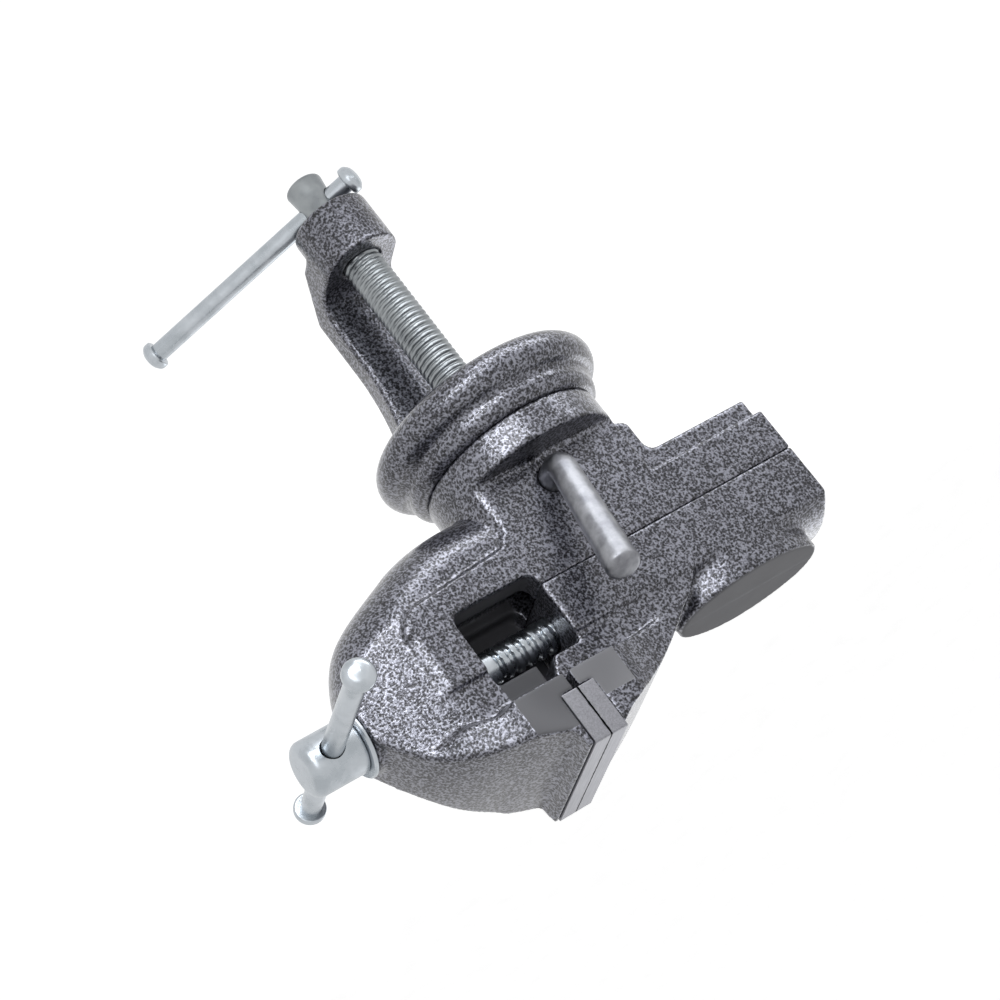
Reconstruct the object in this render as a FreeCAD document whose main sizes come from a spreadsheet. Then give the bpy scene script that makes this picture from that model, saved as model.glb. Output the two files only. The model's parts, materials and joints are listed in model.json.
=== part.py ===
import FreeCAD, Part
import math
import os
import re

import Sketcher
from FreeCAD import Placement, Rotation, Vector

# Clamp-on swivel vise.  Millimetres, +Z up.
# Origin: where the swivel axis meets the underside of the clamp flange, which is the top of the bench.
# X runs across the jaws, +Y from the screw handle to the anvil, and the bench slides in from -X.

SIZES = (
    # name, value, meaning
    ("jaw_width", 60.0, "length of both jaw plates along X"),
    ("plate_height", 19.5, "height of a jaw plate"),
    ("plate_thickness", 6.5, "thickness of a jaw plate"),
    ("plate_bottom", 115.0, "height of the lower edge of the plates"),
    ("plate_screw_spacing", 34.0, "distance between the two screws of a plate"),
    ("plate_screw_diameter", 5.0, "thread of the plate screws"),
    ("plate_screw_head", 9.6, "countersunk head of the plate screws"),
    ("plate_screw_length", 11.0, "overall length of the plate screws"),
    ("plate_screw_drop", 12.5, "distance from the top of a plate down to its screws"),
    ("screw_hole_clearance", 0.05, "radial clearance round the shanks of small screws"),
    ("jaw_line", -47.3, "Y of the plane in which the closed plates meet"),
    ("lip_gap", 1.1, "how far the castings stop short of the jaw line under the plates"),
    ("head_bottom", 108.5, "underside of both jaw heads"),
    ("neck_bottom", 98.0, "underside of the necks that carry the heads over the window"),
    ("body_width", 39.0, "width of rail, block and moving jaw"),
    ("panel_step", 1.8, "how far the narrower panels stand back from the side of the block"),
    ("rail_top", 75.0, "sliding face between rail and moving jaw"),
    ("rail_depth", 17.0, "height of the rail's wide part"),
    ("rail_end", 78.3, "Y of the rear end of rail and closed moving jaw"),
    ("rib_width", 28.0, "width of the rib under the rail"),
    ("rib_depth", 8.5, "how far the rib hangs below the rail's wide part"),
    ("block_rear", 29.5, "Y of the rear face of the neck block"),
    ("rear_rib_width", 24.0, "width of the step on the rear of the block"),
    ("rear_rib_depth", 7.0, "how far that step stands off the block"),
    ("window_rear", -30.3, "Y of the window's rear wall and of the moving jaw's front face"),
    ("window_front", -63.5, "Y of the window's front wall"),
    ("window_floor", 69.5, "height of the window's floor"),
    ("back_wall", 6.5, "wall that closes the window on the far side"),
    ("pad_front", -77.5, "Y of the front edge of the raised pad beside the window"),
    ("pad_slope", 3.4, "length over which that edge slopes down to the panel"),
    ("bulb_front", -107.5, "Y of the face that carries the screw's thrust washer"),
    ("bulb_bottom", 35.6, "lowest level of the front bulb"),
    ("nose_half_width", 12.7, "half the width of the bulb at its front face"),
    ("block_edge", 4.0, "rounding of the neck block's front edges"),
    ("screw_height", 85.5, "height of the main screw's axis"),
    ("screw_diameter", 12.5, "outer diameter of the main screw"),
    ("screw_end", 50.0, "Y of the far end of the main screw"),
    ("screw_clearance", 0.1, "radial clearance of the main screw in its bores"),
    ("screw_neck", 10.4, "diameter of the groove that holds the retaining ring"),
    ("ring_diameter", 18.4, "retaining ring inside the window"),
    ("ring_thickness", 1.6, "thickness of that ring"),
    ("ring_play", 0.2, "end play between ring and window wall"),
    ("washer_diameter", 25.0, "thrust washer behind the screw head"),
    ("washer_thickness", 1.8, "thickness of that washer"),
    ("head_diameter", 20.0, "head of the main screw"),
    ("head_length", 20.0, "length of that head"),
    ("handle_diameter", 7.5, "sliding bar of the main screw"),
    ("handle_length", 106.0, "length of that bar between its caps"),
    ("handle_shift", -11.3, "distance of the bar's middle from the screw axis, along the bar"),
    ("screw_turn", 2.2, "turn of the main screw and its bar at rest, in degrees"),
    ("cap_overhang", 1.9, "how far a cap stands proud of its bar all round"),
    ("cap_length", 5.0, "thickness of a cap"),
    ("cap_seat", 2.6, "how deep the bar's turned end sits in its cap"),
    ("bar_clearance", 0.25, "radial clearance of a bar in its head"),
    ("flange_radius", 44.5, "radius of the swivel base"),
    ("flange_height", 22.0, "height of the swivel base up to the swivel seam"),
    ("bead_radius", 7.0, "radius of the large bead round the base"),
    ("collar_radius", 38.3, "radius of the small bead under the seam"),
    ("seat_radius", 35.0, "radius of the turning disc and of its seat"),
    ("disc_height", 12.0, "height of the turning disc under the block"),
    ("swivel_gap", 0.1, "running gap in the swivel seam"),
    ("spigot_radius", 12.0, "swivel spigot that stands up inside the block"),
    ("spigot_top", 50.0, "height of the top of that spigot"),
    ("spigot_clearance", 0.1, "radial clearance of the spigot in its bore"),
    ("groove_depth", 2.0, "depth of the groove that the lock screw enters"),
    ("groove_height", 7.0, "height of that groove"),
    ("throat_height", 70.0, "distance from the bench face to the top of the clamp boss"),
    ("throat_depth", 18.0, "distance from the swivel axis to the arm"),
    ("arm_thickness", 12.0, "thickness of the arm, away from the bench"),
    ("arm_corner", 10.0, "inside radius between arm and boss"),
    ("arm_flare_height", 45.0, "height over which the arm widens into the swivel base"),
    ("arm_flare_spread", 8.5, "how much the arm widens on each side over that height"),
    ("boss_radius", 15.0, "radius of the clamp boss and half the arm's width"),
    ("boss_height", 21.0, "height of the clamp boss"),
    ("clamp_diameter", 14.8, "outer diameter of the clamp screw"),
    ("clamp_clearance", 0.1, "radial clearance of the clamp screw in its boss"),
    ("clamp_head_length", 17.0, "length of the clamp screw's flared head"),
    ("clamp_head_gap", 0.5, "gap between boss and head when the screw is right up"),
    ("clamp_tip_radius", 5.0, "plain tip that turns in the pad"),
    ("clamp_handle_diameter", 7.0, "sliding bar of the clamp screw"),
    ("clamp_handle_length", 98.0, "length of that bar between its caps"),
    ("clamp_handle_shift", 33.0, "offset of that bar's middle from the screw axis"),
    ("clamp_handle_angle", -52.6, "direction of that bar, in degrees from +X"),
    ("clamp_handle_drop", 6.0, "how far that bar runs below the top of the head"),
    ("pad_radius", 13.5, "radius of the swivelling pad"),
    ("pad_thickness", 4.0, "thickness of the pad's disc"),
    ("pad_hub_radius", 8.6, "radius of the pad's hub"),
    ("pad_hub_length", 6.5, "length of the pad's hub"),
    ("pad_gap", 0.3, "gap between the pad and the bench face when the screw is right up"),
    ("pad_clearance", 0.1, "clearance of the tip in the pad"),
    ("slot_width", 14.4, "guide slot in the top of the rail"),
    ("slot_depth", 10.0, "depth of that slot down to the keeper chamber"),
    ("chamber_width", 23.0, "width of the keeper chamber under the slot"),
    ("chamber_height", 7.6, "height of the keeper chamber"),
    ("slot_front", -24.0, "Y of the front end of the keeper chamber"),
    ("slide_clearance", 0.2, "clearance of keel and keeper in the rail"),
    ("keel_front", -18.0, "Y of the keel's front end"),
    ("keel_rear", 70.0, "Y of the keel's rear end"),
    ("keeper_front", -8.0, "Y of the keeper's front end"),
    ("keeper_length", 70.0, "length of the keeper"),
    ("keeper_screw_diameter", 5.0, "thread of the keeper's screws"),
    ("keeper_screw_head", 8.5, "head diameter of the keeper's screws"),
    ("keeper_head_height", 3.0, "head height of the keeper's screws"),
    ("keeper_screw_spacing", 44.0, "distance between the keeper's screws"),
    ("anvil_length", 59.0, "length of the oval anvil along Y"),
    ("anvil_centre", 40.5, "Y of the anvil's centre"),
    ("anvil_top", 107.0, "height of the anvil's working face"),
    ("anvil_width", 39.0, "width of the oval anvil"),
    ("anvil_nose", 15.0, "radius of the oval at both ends"),
    ("back_foot", 8.5, "Y where the back of the moving jaw runs out above the slide"),
    ("crown_rise", 5.5, "how far the top of the slide is crowned between its two ledges"),
    ("ledge_height", 95.0, "height of the ledge along the moving jaw's side"),
    ("lock_height", 44.0, "height of the lock screw's axis"),
    ("lock_offset", -2.5, "Y of the lock screw's axis"),
    ("lock_diameter", 10.0, "diameter of the lock lever's stud and bend"),
    ("lock_reach", 5.0, "how far the stud stands out of the block before it bends"),
    ("lock_bend", 8.0, "radius of the bend, measured on the lever's centre line"),
    ("lock_tip_diameter", 12.4, "diameter of the lever at its free end"),
    ("lock_arm", 46.5, "length of the lever beyond its bend"),
    ("lock_lean", 16.0, "how far the lever leans away from the block, in degrees"),
    ("lock_turn", 14.5, "turn of the lever towards the handle, in degrees"),
    ("lock_clearance", 0.1, "radial clearance of the stud in its hole"),
    ("lock_point_radius", 2.4, "radius of the stud's point"),
    ("lock_point_gap", 0.5, "gap between the point and the groove when unlocked"),
)

# Sizes that follow from the ones above.  Each is written as an expression of the sheet's names.
DERIVED = {
    "half_body": "body_width / 2",
    "half_panel": "(body_width / 2 - panel_step)",
    "half_jaw": "jaw_width / 2",
    "block_front": "(-sqrt(seat_radius * seat_radius - body_width * body_width / 4))",
    "edge_y": "(-sqrt((seat_radius - block_edge) * (seat_radius - block_edge)"
              " - (half_body - block_edge) * (half_body - block_edge)))",
    "edge_share": "(seat_radius / (seat_radius - block_edge))",
    "neck_edge_top": "(bulb_bottom + 14.4)",
    "plate_top": "(plate_bottom + plate_height)",
    "fixed_seat": "(jaw_line - plate_thickness)",
    "moving_seat": "(jaw_line + plate_thickness)",
    "rail_bottom": "(rail_top - rail_depth)",
    "disc_top": "(flange_height + disc_height)",
    "screw_radius": "screw_diameter / 2",
    "washer_face": "(bulb_front - washer_thickness)",
    "handle_line": "(bulb_front - washer_thickness - head_length / 2)",
    "arm_back": "(throat_depth + arm_thickness)",
    "anvil_end": "(anvil_length / 2 - anvil_nose)",
    "anvil_side": "((anvil_end * anvil_end + anvil_width * anvil_width / 4 - anvil_nose * anvil_nose)"
                  " / (anvil_width - 2 * anvil_nose))",
    "anvil_join_x": "((anvil_side - anvil_width / 2) * anvil_nose / (anvil_side - anvil_nose))",
    "anvil_join_y": "(anvil_side * anvil_end / (anvil_side - anvil_nose))",
    "boss_bottom": "(-throat_height - boss_height)",
    "clamp_head_top": "(-throat_height - boss_height - clamp_head_gap)",
    "clamp_handle_height": "(-throat_height - boss_height - clamp_head_gap - clamp_handle_drop)",
    "chamber_top": "(rail_top - slot_depth)",
}

WORDS = {name for name, _, _ in SIZES}
DOC = FreeCAD.newDocument("ClampVise")
SHEET = DOC.addObject("Spreadsheet::Sheet", "Sizes")


def fill_sheet():
    """Write every driving dimension into the sheet, with its name as alias."""
    for row, (name, value, meaning) in enumerate(SIZES, start=1):
        SHEET.set(f"A{row}", meaning)
        SHEET.set(f"B{row}", str(value))
        SHEET.setAlias(f"B{row}", name)
    DOC.recompute()


def cells(expression):
    """Turn an expression of plain names into one that points at the sheet's cells."""
    text = str(expression)
    while any(re.search(rf"\b{name}\b", text) for name in DERIVED):
        for name, meaning in DERIVED.items():
            text = re.sub(rf"\b{name}\b", f"({meaning})", text)
    return re.sub(r"\b[a-z_]+\b", lambda m: f"Sizes.{m[0]}" if m[0] in WORDS else m[0], text)


def size(expression):
    """Value of an expression of the sheet's names."""
    result = SHEET.evalExpression(cells(expression))
    return float(getattr(result, "Value", result))


def bind(item, prop, expression):
    """Tie a property to an expression of the sheet's names."""
    item.setExpression(prop, cells(expression))


# ---------------------------------------------------------------- sketches and features

def new_body(label):
    """An empty body whose label names its file."""
    body = DOC.addObject("PartDesign::Body", label)
    body.Label = label
    return body


def sketch_on(body, plane, name, lift="0"):
    """A sketch on one of the body's own origin planes, lifted along the plane's normal."""
    sketch = body.newObject("Sketcher::SketchObject", name)
    support = next(f for f in body.Origin.OriginFeatures if f.Role == plane)
    sketch.AttachmentSupport = [(support, "")]
    sketch.MapMode = "FlatFace"
    sketch.AttachmentOffset = Placement(Vector(0, 0, size(lift)), Rotation())
    bind(sketch, "AttachmentOffset.Base.z", lift)
    return sketch


def hold(sketch, *constraint, expression):
    """Add a dimension to the sketch and tie it to the sheet."""
    index = sketch.addConstraint(Sketcher.Constraint(*constraint, size(expression)))
    bind(sketch, f"Constraints[{index}]", expression)


def arc_between(start, end, radius, turn):
    """Arc of less than half a turn; turn is +1 for counter-clockwise, -1 for clockwise."""
    chord = end - start
    side = Vector(-chord.y, chord.x, 0).normalize() * turn
    rise = math.sqrt(max(radius ** 2 - (chord.Length / 2) ** 2, 0.0))
    centre = start + chord * 0.5 + side * rise
    first, last = (start, end) if turn > 0 else (end, start)
    angles = [math.atan2(p.y - centre.y, p.x - centre.x) for p in (first, last)]
    return Part.ArcOfCircle(Part.Circle(centre, Vector(0, 0, 1), radius), *angles)


def outline(sketch, corners):
    """Closed outline.

    Each corner is (x, y), reached by a straight line from the corner before it, or
    (x, y, radius, turn), reached by an arc.  Every corner is held by its two coordinates
    and every arc by its radius.
    """
    points = [Vector(size(c[0]), size(c[1]), 0) for c in corners]
    ends = []
    for i, corner in enumerate(corners):
        start, end = points[i - 1], points[i]
        if len(corner) == 4:
            index = sketch.addGeometry(arc_between(start, end, size(corner[2]), corner[3]), False)
            ends.append((index, 1, 2) if corner[3] > 0 else (index, 2, 1))
        else:
            index = sketch.addGeometry(Part.LineSegment(start, end), False)
            ends.append((index, 1, 2))
    for i, (index, _, finish) in enumerate(ends):
        following = ends[(i + 1) % len(ends)]
        sketch.addConstraint(Sketcher.Constraint("Coincident", index, finish, following[0], following[1]))
    for corner, (index, _, finish) in zip(corners, ends):
        hold(sketch, "DistanceX", index, finish, expression=corner[0])
        hold(sketch, "DistanceY", index, finish, expression=corner[1])
        if len(corner) == 4:
            hold(sketch, "Radius", index, expression=corner[2])


def box_outline(sketch, left, right, low, high):
    """Closed rectangle between two X values and two Y values."""
    outline(sketch, [(left, low), (right, low), (right, high), (left, high)])


def circle(sketch, radius, x="0", y="0"):
    """Circle held by its centre's coordinates and its radius."""
    shape = Part.Circle(Vector(size(x), size(y), 0), Vector(0, 0, 1), size(radius))
    index = sketch.addGeometry(shape, False)
    hold(sketch, "DistanceX", index, 3, expression=x)
    hold(sketch, "DistanceY", index, 3, expression=y)
    hold(sketch, "Radius", index, expression=radius)


def feature(body, kind, name, sketch):
    """A feature of the body that is made from a sketch."""
    item = body.newObject(f"PartDesign::{kind}", name)
    item.Profile = sketch
    sketch.Visibility = False
    return item


def pad(body, name, sketch, length, both_sides=False, backwards=False):
    """Material of the given length on one side of the sketch, or shared between both sides."""
    item = feature(body, "Pad", name, sketch)
    item.SideType = "Symmetric" if both_sides else "One side"
    item.Reversed = backwards
    bind(item, "Length", length)
    DOC.recompute()
    return item


def pocket(body, name, sketch, length=None, backwards=False):
    """Cut of the given depth behind the sketch, or all through on both sides; it must cut something."""
    before = body.Shape.Volume
    item = feature(body, "Pocket", name, sketch)
    if length is None:
        item.Type = "ThroughAll"
        item.SideType = "Symmetric"
    else:
        item.Type = "Length"
        item.Reversed = backwards
        bind(item, "Length", length)
    DOC.recompute()
    if body.Shape.Volume > before - 1e-3:
        raise RuntimeError(f"{body.Label}: {name} cuts nothing")
    return item


def revolve(body, name, sketch, axis="V_Axis"):
    """Full turn of the sketch about one of its own axes."""
    item = feature(body, "Revolution", name, sketch)
    item.ReferenceAxis = (sketch, [axis])
    item.Angle = 360.0
    DOC.recompute()
    return item


def soften(body, name, radius, choose, kind="Fillet"):
    """Fillet or chamfer the edges of the body's last feature that choose() accepts."""
    base = body.Tip
    names = [f"Edge{i}" for i, edge in enumerate(base.Shape.Edges, start=1) if choose(edge)]
    if not names:
        raise RuntimeError(f"{body.Label}: {name} finds no edge")
    item = body.newObject(f"PartDesign::{kind}", name)
    item.Base = (base, names)
    bind(item, "Radius" if kind == "Fillet" else "Size", radius)
    DOC.recompute()
    if "Invalid" in item.State:
        raise RuntimeError(f"{body.Label}: {name} can't be made on {names}")
    return item


def near(a, b, slack=0.02):
    """Whether two numbers agree."""
    return abs(a - b) < slack


def flat_on(edge, axis, level):
    """Whether the whole edge lies at one level of an axis."""
    box = edge.BoundBox
    low, high = getattr(box, f"{axis}Min"), getattr(box, f"{axis}Max")
    return near(low, level) and near(high, level)


def along(edge, axis):
    """Whether the edge is a straight line along an axis."""
    if not isinstance(edge.Curve, Part.Line):
        return False
    return near(abs(getattr(edge.Curve.Direction, axis)), 1.0, 1e-4)


# ---------------------------------------------------------------- clamp

def clamp_frame():
    """Casting with the beaded swivel base, the arm that reaches round the bench, and the boss."""
    body = new_body("clamp_frame")
    section = sketch_on(body, "XZ_Plane", "base_section")
    outline(section, [
        ("0", "0"),
        ("flange_radius - bead_radius", "0"),
        ("flange_radius", "bead_radius", "bead_radius", 1),
        ("flange_radius - bead_radius / 2", "bead_radius * 1.866", "bead_radius", 1),
        ("collar_radius", "flange_height - 6.6", "3.2", -1),
        ("seat_radius + 0.6", "flange_height - 0.4", "5", 1),
        ("seat_radius + 0.2", "flange_height"),
        ("spigot_radius", "flange_height"),
        ("spigot_radius", "lock_height - groove_height / 2"),
        ("spigot_radius - groove_depth", "lock_height - groove_height / 2"),
        ("spigot_radius - groove_depth", "lock_height + groove_height / 2"),
        ("spigot_radius", "lock_height + groove_height / 2"),
        ("spigot_radius", "spigot_top - 1.5"),
        ("spigot_radius - 1.5", "spigot_top"),
        ("0", "spigot_top"),
    ])
    revolve(body, "base", section)
    side = sketch_on(body, "XZ_Plane", "arm_side")
    outline(side, [
        ("throat_depth - 3.2", "2"),
        ("throat_depth - 3.2", "0"),
        ("throat_depth", "-3.2", "3.2", -1),
        ("throat_depth", "arm_corner - throat_height"),
        ("throat_depth - arm_corner", "-throat_height", "arm_corner", -1),
        ("0", "-throat_height"),
        ("0", "-throat_height - boss_height * 0.6"),
        ("boss_radius * 0.8", "-throat_height - boss_height * 0.6"),
        ("arm_back", "2 - throat_height"),
        ("arm_back", "-5"),
        ("arm_back + 5", "0", "5", -1),
        ("arm_back + 5", "2"),
    ])
    pad(body, "arm", side, "2 * (boss_radius + arm_flare_spread - 0.5)", both_sides=True)
    sides = sketch_on(body, "YZ_Plane", "arm_flare")
    flare = ("(arm_flare_spread * arm_flare_spread + arm_flare_height * arm_flare_height)"
             " / (2 * arm_flare_spread)")
    for sign in (1, -1):
        outline(sides, [
            (f"{sign} * (boss_radius + arm_flare_spread + 1)", "0"),
            (f"{sign} * (boss_radius + arm_flare_spread + 1)", "boss_bottom - 1"),
            (f"{sign} * boss_radius", "boss_bottom - 1"),
            (f"{sign} * boss_radius", "-arm_flare_height"),
            (f"{sign} * (boss_radius + arm_flare_spread)", "0", flare, -sign),
        ])
    pocket(body, "arm_sides", sides)
    rim = sketch_on(body, "XY_Plane", "boss_circle", "boss_bottom")
    circle(rim, "boss_radius")
    pad(body, "boss", rim, "boss_height")
    back = size("arm_back")
    soften(body, "arm_edges", "3", lambda e: e.BoundBox.ZLength > 10 and near(e.BoundBox.XMin, back)
           and near(e.BoundBox.XMax, back) and e.BoundBox.ZMax < 0)
    soften(body, "boss_edge", "1.2", lambda e: flat_on(e, "Z", size("boss_bottom"))
           and e.BoundBox.XLength > size("boss_radius"))
    bore = sketch_on(body, "XY_Plane", "thread_circle", "-throat_height")
    circle(bore, "clamp_diameter / 2 + clamp_clearance")
    pocket(body, "thread_bore", bore, "boss_height")
    return body


def clamp_screw():
    """Clamp screw: plain tip, thread, flared head with a cross hole."""
    body = new_body("clamp_screw")
    thread, tip = "clamp_diameter / 2", "clamp_tip_radius"
    shoulder = "-pad_gap - pad_thickness - pad_hub_length - pad_clearance"
    top = "-pad_gap - pad_thickness - pad_clearance"
    section = sketch_on(body, "XZ_Plane", "turned_section")
    outline(section, [
        ("0", top),
        ("0", "clamp_head_top - clamp_head_length"),
        (f"{thread} - 2", "clamp_head_top - clamp_head_length"),
        (thread, "clamp_head_top - clamp_head_length + 2", "2", 1),
        (f"{thread} - 1.3", "clamp_head_top - 4", "40", -1),
        (f"{thread} - 1.3", "clamp_head_top"),
        (thread, "clamp_head_top + 1.3"),
        (thread, f"{shoulder} - 1.2"),
        (f"{thread} - 1.2", shoulder),
        (tip, shoulder),
        (tip, f"{top} - 0.6"),
        (f"{tip} - 0.6", top),
    ])
    revolve(body, "turned", section)
    hole = sketch_on(body, "YZ_Plane", "cross_hole")
    circle(hole, "clamp_handle_diameter / 2 + bar_clearance", "0", "clamp_handle_height")
    pocket(body, "handle_hole", hole)
    body.Placement = Placement(Vector(), Rotation(Vector(0, 0, 1), size("clamp_handle_angle")))
    bind(body, "Placement.Rotation.Angle", "clamp_handle_angle")
    return body


def clamp_pad():
    """Pad that turns on the tip of the clamp screw and bears on the underside of the bench."""
    body = new_body("clamp_pad")
    section = sketch_on(body, "XZ_Plane", "pad_section")
    outline(section, [
        ("0", "-pad_gap"),
        ("0", "-pad_gap - pad_thickness"),
        ("clamp_tip_radius + pad_clearance", "-pad_gap - pad_thickness"),
        ("clamp_tip_radius + pad_clearance", "-pad_gap - pad_thickness - pad_hub_length"),
        ("pad_hub_radius", "-pad_gap - pad_thickness - pad_hub_length"),
        ("pad_hub_radius", "-pad_gap - pad_thickness - 1.5"),
        ("pad_radius", "-pad_gap - pad_thickness + 0.6"),
        ("pad_radius", "-pad_gap - 1"),
        ("pad_radius - 1", "-pad_gap"),
    ])
    revolve(body, "pad", section)
    return body


# ---------------------------------------------------------------- sliding handles

def handle_bar(label, diameter, length):
    """Round bar along X, turned down at both ends for its caps."""
    body = new_body(label)
    radius, end = f"{diameter} / 2", f"{length} / 2"
    seat = f"{diameter} / 2 - 1.2"
    section = sketch_on(body, "XZ_Plane", "bar_section")
    outline(section, [
        (f"-({end})", "0"),
        (end, "0"),
        (end, seat),
        (f"{end} - cap_seat", seat),
        (f"{end} - cap_seat", radius),
        (f"cap_seat - {end}", radius),
        (f"cap_seat - {end}", seat),
        (f"-({end})", seat),
    ])
    revolve(body, "bar", section, "H_Axis")
    return body


def handle_cap(label, diameter, length, side):
    """Domed cap on one end of a bar; side is -1 or +1."""
    body = new_body(label)
    seat = f"{diameter} / 2 - 1.2"
    inner = f"{length} / 2 - cap_seat"
    rim = f"{diameter} / 2 + cap_overhang"
    dome = f"(cap_length * cap_length * 0.16 + ({rim} - 1.1) * ({rim} - 1.1)) / (cap_length * 0.8)"
    section = sketch_on(body, "XZ_Plane", "cap_section")
    turn = side

    def place(offset, radius, *arc):
        return (f"{side} * ({inner} + {offset})", radius, *arc)

    outline(section, [
        place("cap_seat", "0"),
        place("cap_seat", seat),
        place("0", seat),
        place("0", f"{rim} - 0.9"),
        place("cap_length * 0.28", rim, "1.9", -turn),
        place("cap_length * 0.6", f"{rim} - 1.1", "2.2", -turn),
        place("cap_length", "0", dome, -turn),
    ])
    revolve(body, "cap", section, "H_Axis")
    return body


def place_handle(items, axis, angle, base):
    """Give a bar and its caps their common place: a turn about one axis, then a shift."""
    for item in items:
        item.Placement = Placement(Vector(*[size(b) for b in base]), Rotation(axis, size(angle)))
        bind(item, "Placement.Rotation.Angle", angle)
        for letter, expression in zip("xyz", base):
            bind(item, f"Placement.Base.{letter}", expression)


def handles():
    """Both sliding handles with their caps."""
    main = [handle_bar("main_handle_bar", "handle_diameter", "handle_length")]
    main += [handle_cap(name, "handle_diameter", "handle_length", side)
             for name, side in (("main_handle_near_cap", -1), ("main_handle_far_cap", 1))]
    place_handle(main, Vector(0, 1, 0), "screw_turn", (
        "handle_shift * cos(screw_turn * 1 deg)",
        "handle_line",
        "screw_height - handle_shift * sin(screw_turn * 1 deg)"))
    clamp = [handle_bar("clamp_handle_bar", "clamp_handle_diameter", "clamp_handle_length")]
    clamp += [handle_cap(name, "clamp_handle_diameter", "clamp_handle_length", side)
              for name, side in (("clamp_handle_short_cap", -1), ("clamp_handle_long_cap", 1))]
    place_handle(clamp, Vector(0, 0, 1), "clamp_handle_angle", (
        "clamp_handle_shift * cos(clamp_handle_angle * 1 deg)",
        "clamp_handle_shift * sin(clamp_handle_angle * 1 deg)",
        "clamp_handle_height"))
    return main + clamp


# ---------------------------------------------------------------- vise body

# Cross sections of the bulb and the fixed jaw head, from the washer face towards the jaw line:
# Y, half width of the side panels, half width of the wings, lowest point, lower end of the panels,
# root of the wings, lower and upper edge of the wings, crown.
BULB_SECTIONS = (
    ("bulb_front", "nose_half_width - 0.1", "nose_half_width", "screw_height - 13.5", "screw_height - 5.5",
     "screw_height + 3", "screw_height + 4", "screw_height + 5.5", "screw_height + 6.3"),
    ("bulb_front + 2", "nose_half_width + 0.3", "nose_half_width + 0.5", "bulb_bottom + 30.9",
     "bulb_bottom + 41", "screw_height + 6.5", "screw_height + 7.7", "screw_height + 9.2", "screw_height + 10"),
    ("bulb_front + 6.3", "nose_half_width + 0.7", "nose_half_width + 0.9", "bulb_bottom + 23.7",
     "bulb_bottom + 36.4", "screw_height + 12.5", "screw_height + 13.9", "screw_height + 15.6",
     "screw_height + 16.4"),
    ("bulb_front + 12.5", "half_panel - 3.1", "half_panel - 2.8", "bulb_bottom + 17.7", "bulb_bottom + 31.4",
     "screw_height + 19", "screw_height + 20.8", "screw_height + 22.9", "screw_height + 23.8"),
    ("bulb_front + 18.6", "half_panel - 1.8", "half_jaw * 0.6", "bulb_bottom + 14", "bulb_bottom + 29",
     "head_bottom - 4.2", "head_bottom - 1.9", "screw_height + 28", "screw_height + 29"),
    ("bulb_front + 29.5", "half_panel - 0.2", "half_jaw * 0.8", "bulb_bottom + 9", "bulb_bottom + 26",
     "head_bottom - 3.5", "head_bottom - 0.5", "plate_top - 15.2", "plate_top - 14.2"),
    ("bulb_front + 39.5", "half_panel", "half_jaw", "bulb_bottom + 4.7", "bulb_bottom + 22",
     "head_bottom - 3", "head_bottom", "plate_top - 11.5", "plate_top - 10.5"),
)
BELLY_SECTIONS = (
    BULB_SECTIONS[-1],
    ("fixed_seat", "half_panel", "half_jaw", "bulb_bottom + 1", "bulb_bottom + 18.2",
     "head_bottom - 2.5", "head_bottom", "plate_top - 6.7", "plate_top - 5.9"),
    ("block_front - 10", "half_panel", "half_jaw", "bulb_bottom", "bulb_bottom + 17.2",
     "head_bottom - 2.5", "head_bottom", "plate_top - 4", "plate_top - 3.2"),
    ("block_front + 3", "half_panel", "half_jaw", "bulb_bottom + 0.9", "bulb_bottom + 17.8",
     "head_bottom - 2.5", "head_bottom", "plate_top - 4", "plate_top - 3.2"),
)


def bulb_section(body, name, station):
    """One closed cross section of the bulb: round belly, panels, sloping wing roots, wings, crown."""
    y, panel, wing, low, shelf, root, edge, rim, crown = station
    belly = f"(({panel}) * ({panel}) + ({shelf} - ({low})) * ({shelf} - ({low}))) / (2 * ({shelf} - ({low})))"
    arch = f"(({wing}) * ({wing}) + ({crown} - ({rim})) * ({crown} - ({rim}))) / (2 * ({crown} - ({rim})))"
    section = sketch_on(body, "XZ_Plane", name, f"-({y})")
    outline(section, [
        (f"-({panel})", shelf),
        (panel, shelf, belly, 1),
        (panel, root),
        (wing, edge),
        (wing, rim),
        (f"-({wing})", rim, arch, 1),
        (f"-({wing})", edge),
        (f"-({panel})", root),
    ])
    return section


def bulb_loft(body, name, stations):
    """Smooth skin through a row of cross sections."""
    sections = [bulb_section(body, f"{name}_{i}", station) for i, station in enumerate(stations)]
    loft = feature(body, "AdditiveLoft", name, sections[0])
    loft.Sections = sections[1:]
    DOC.recompute()
    return loft


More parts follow.
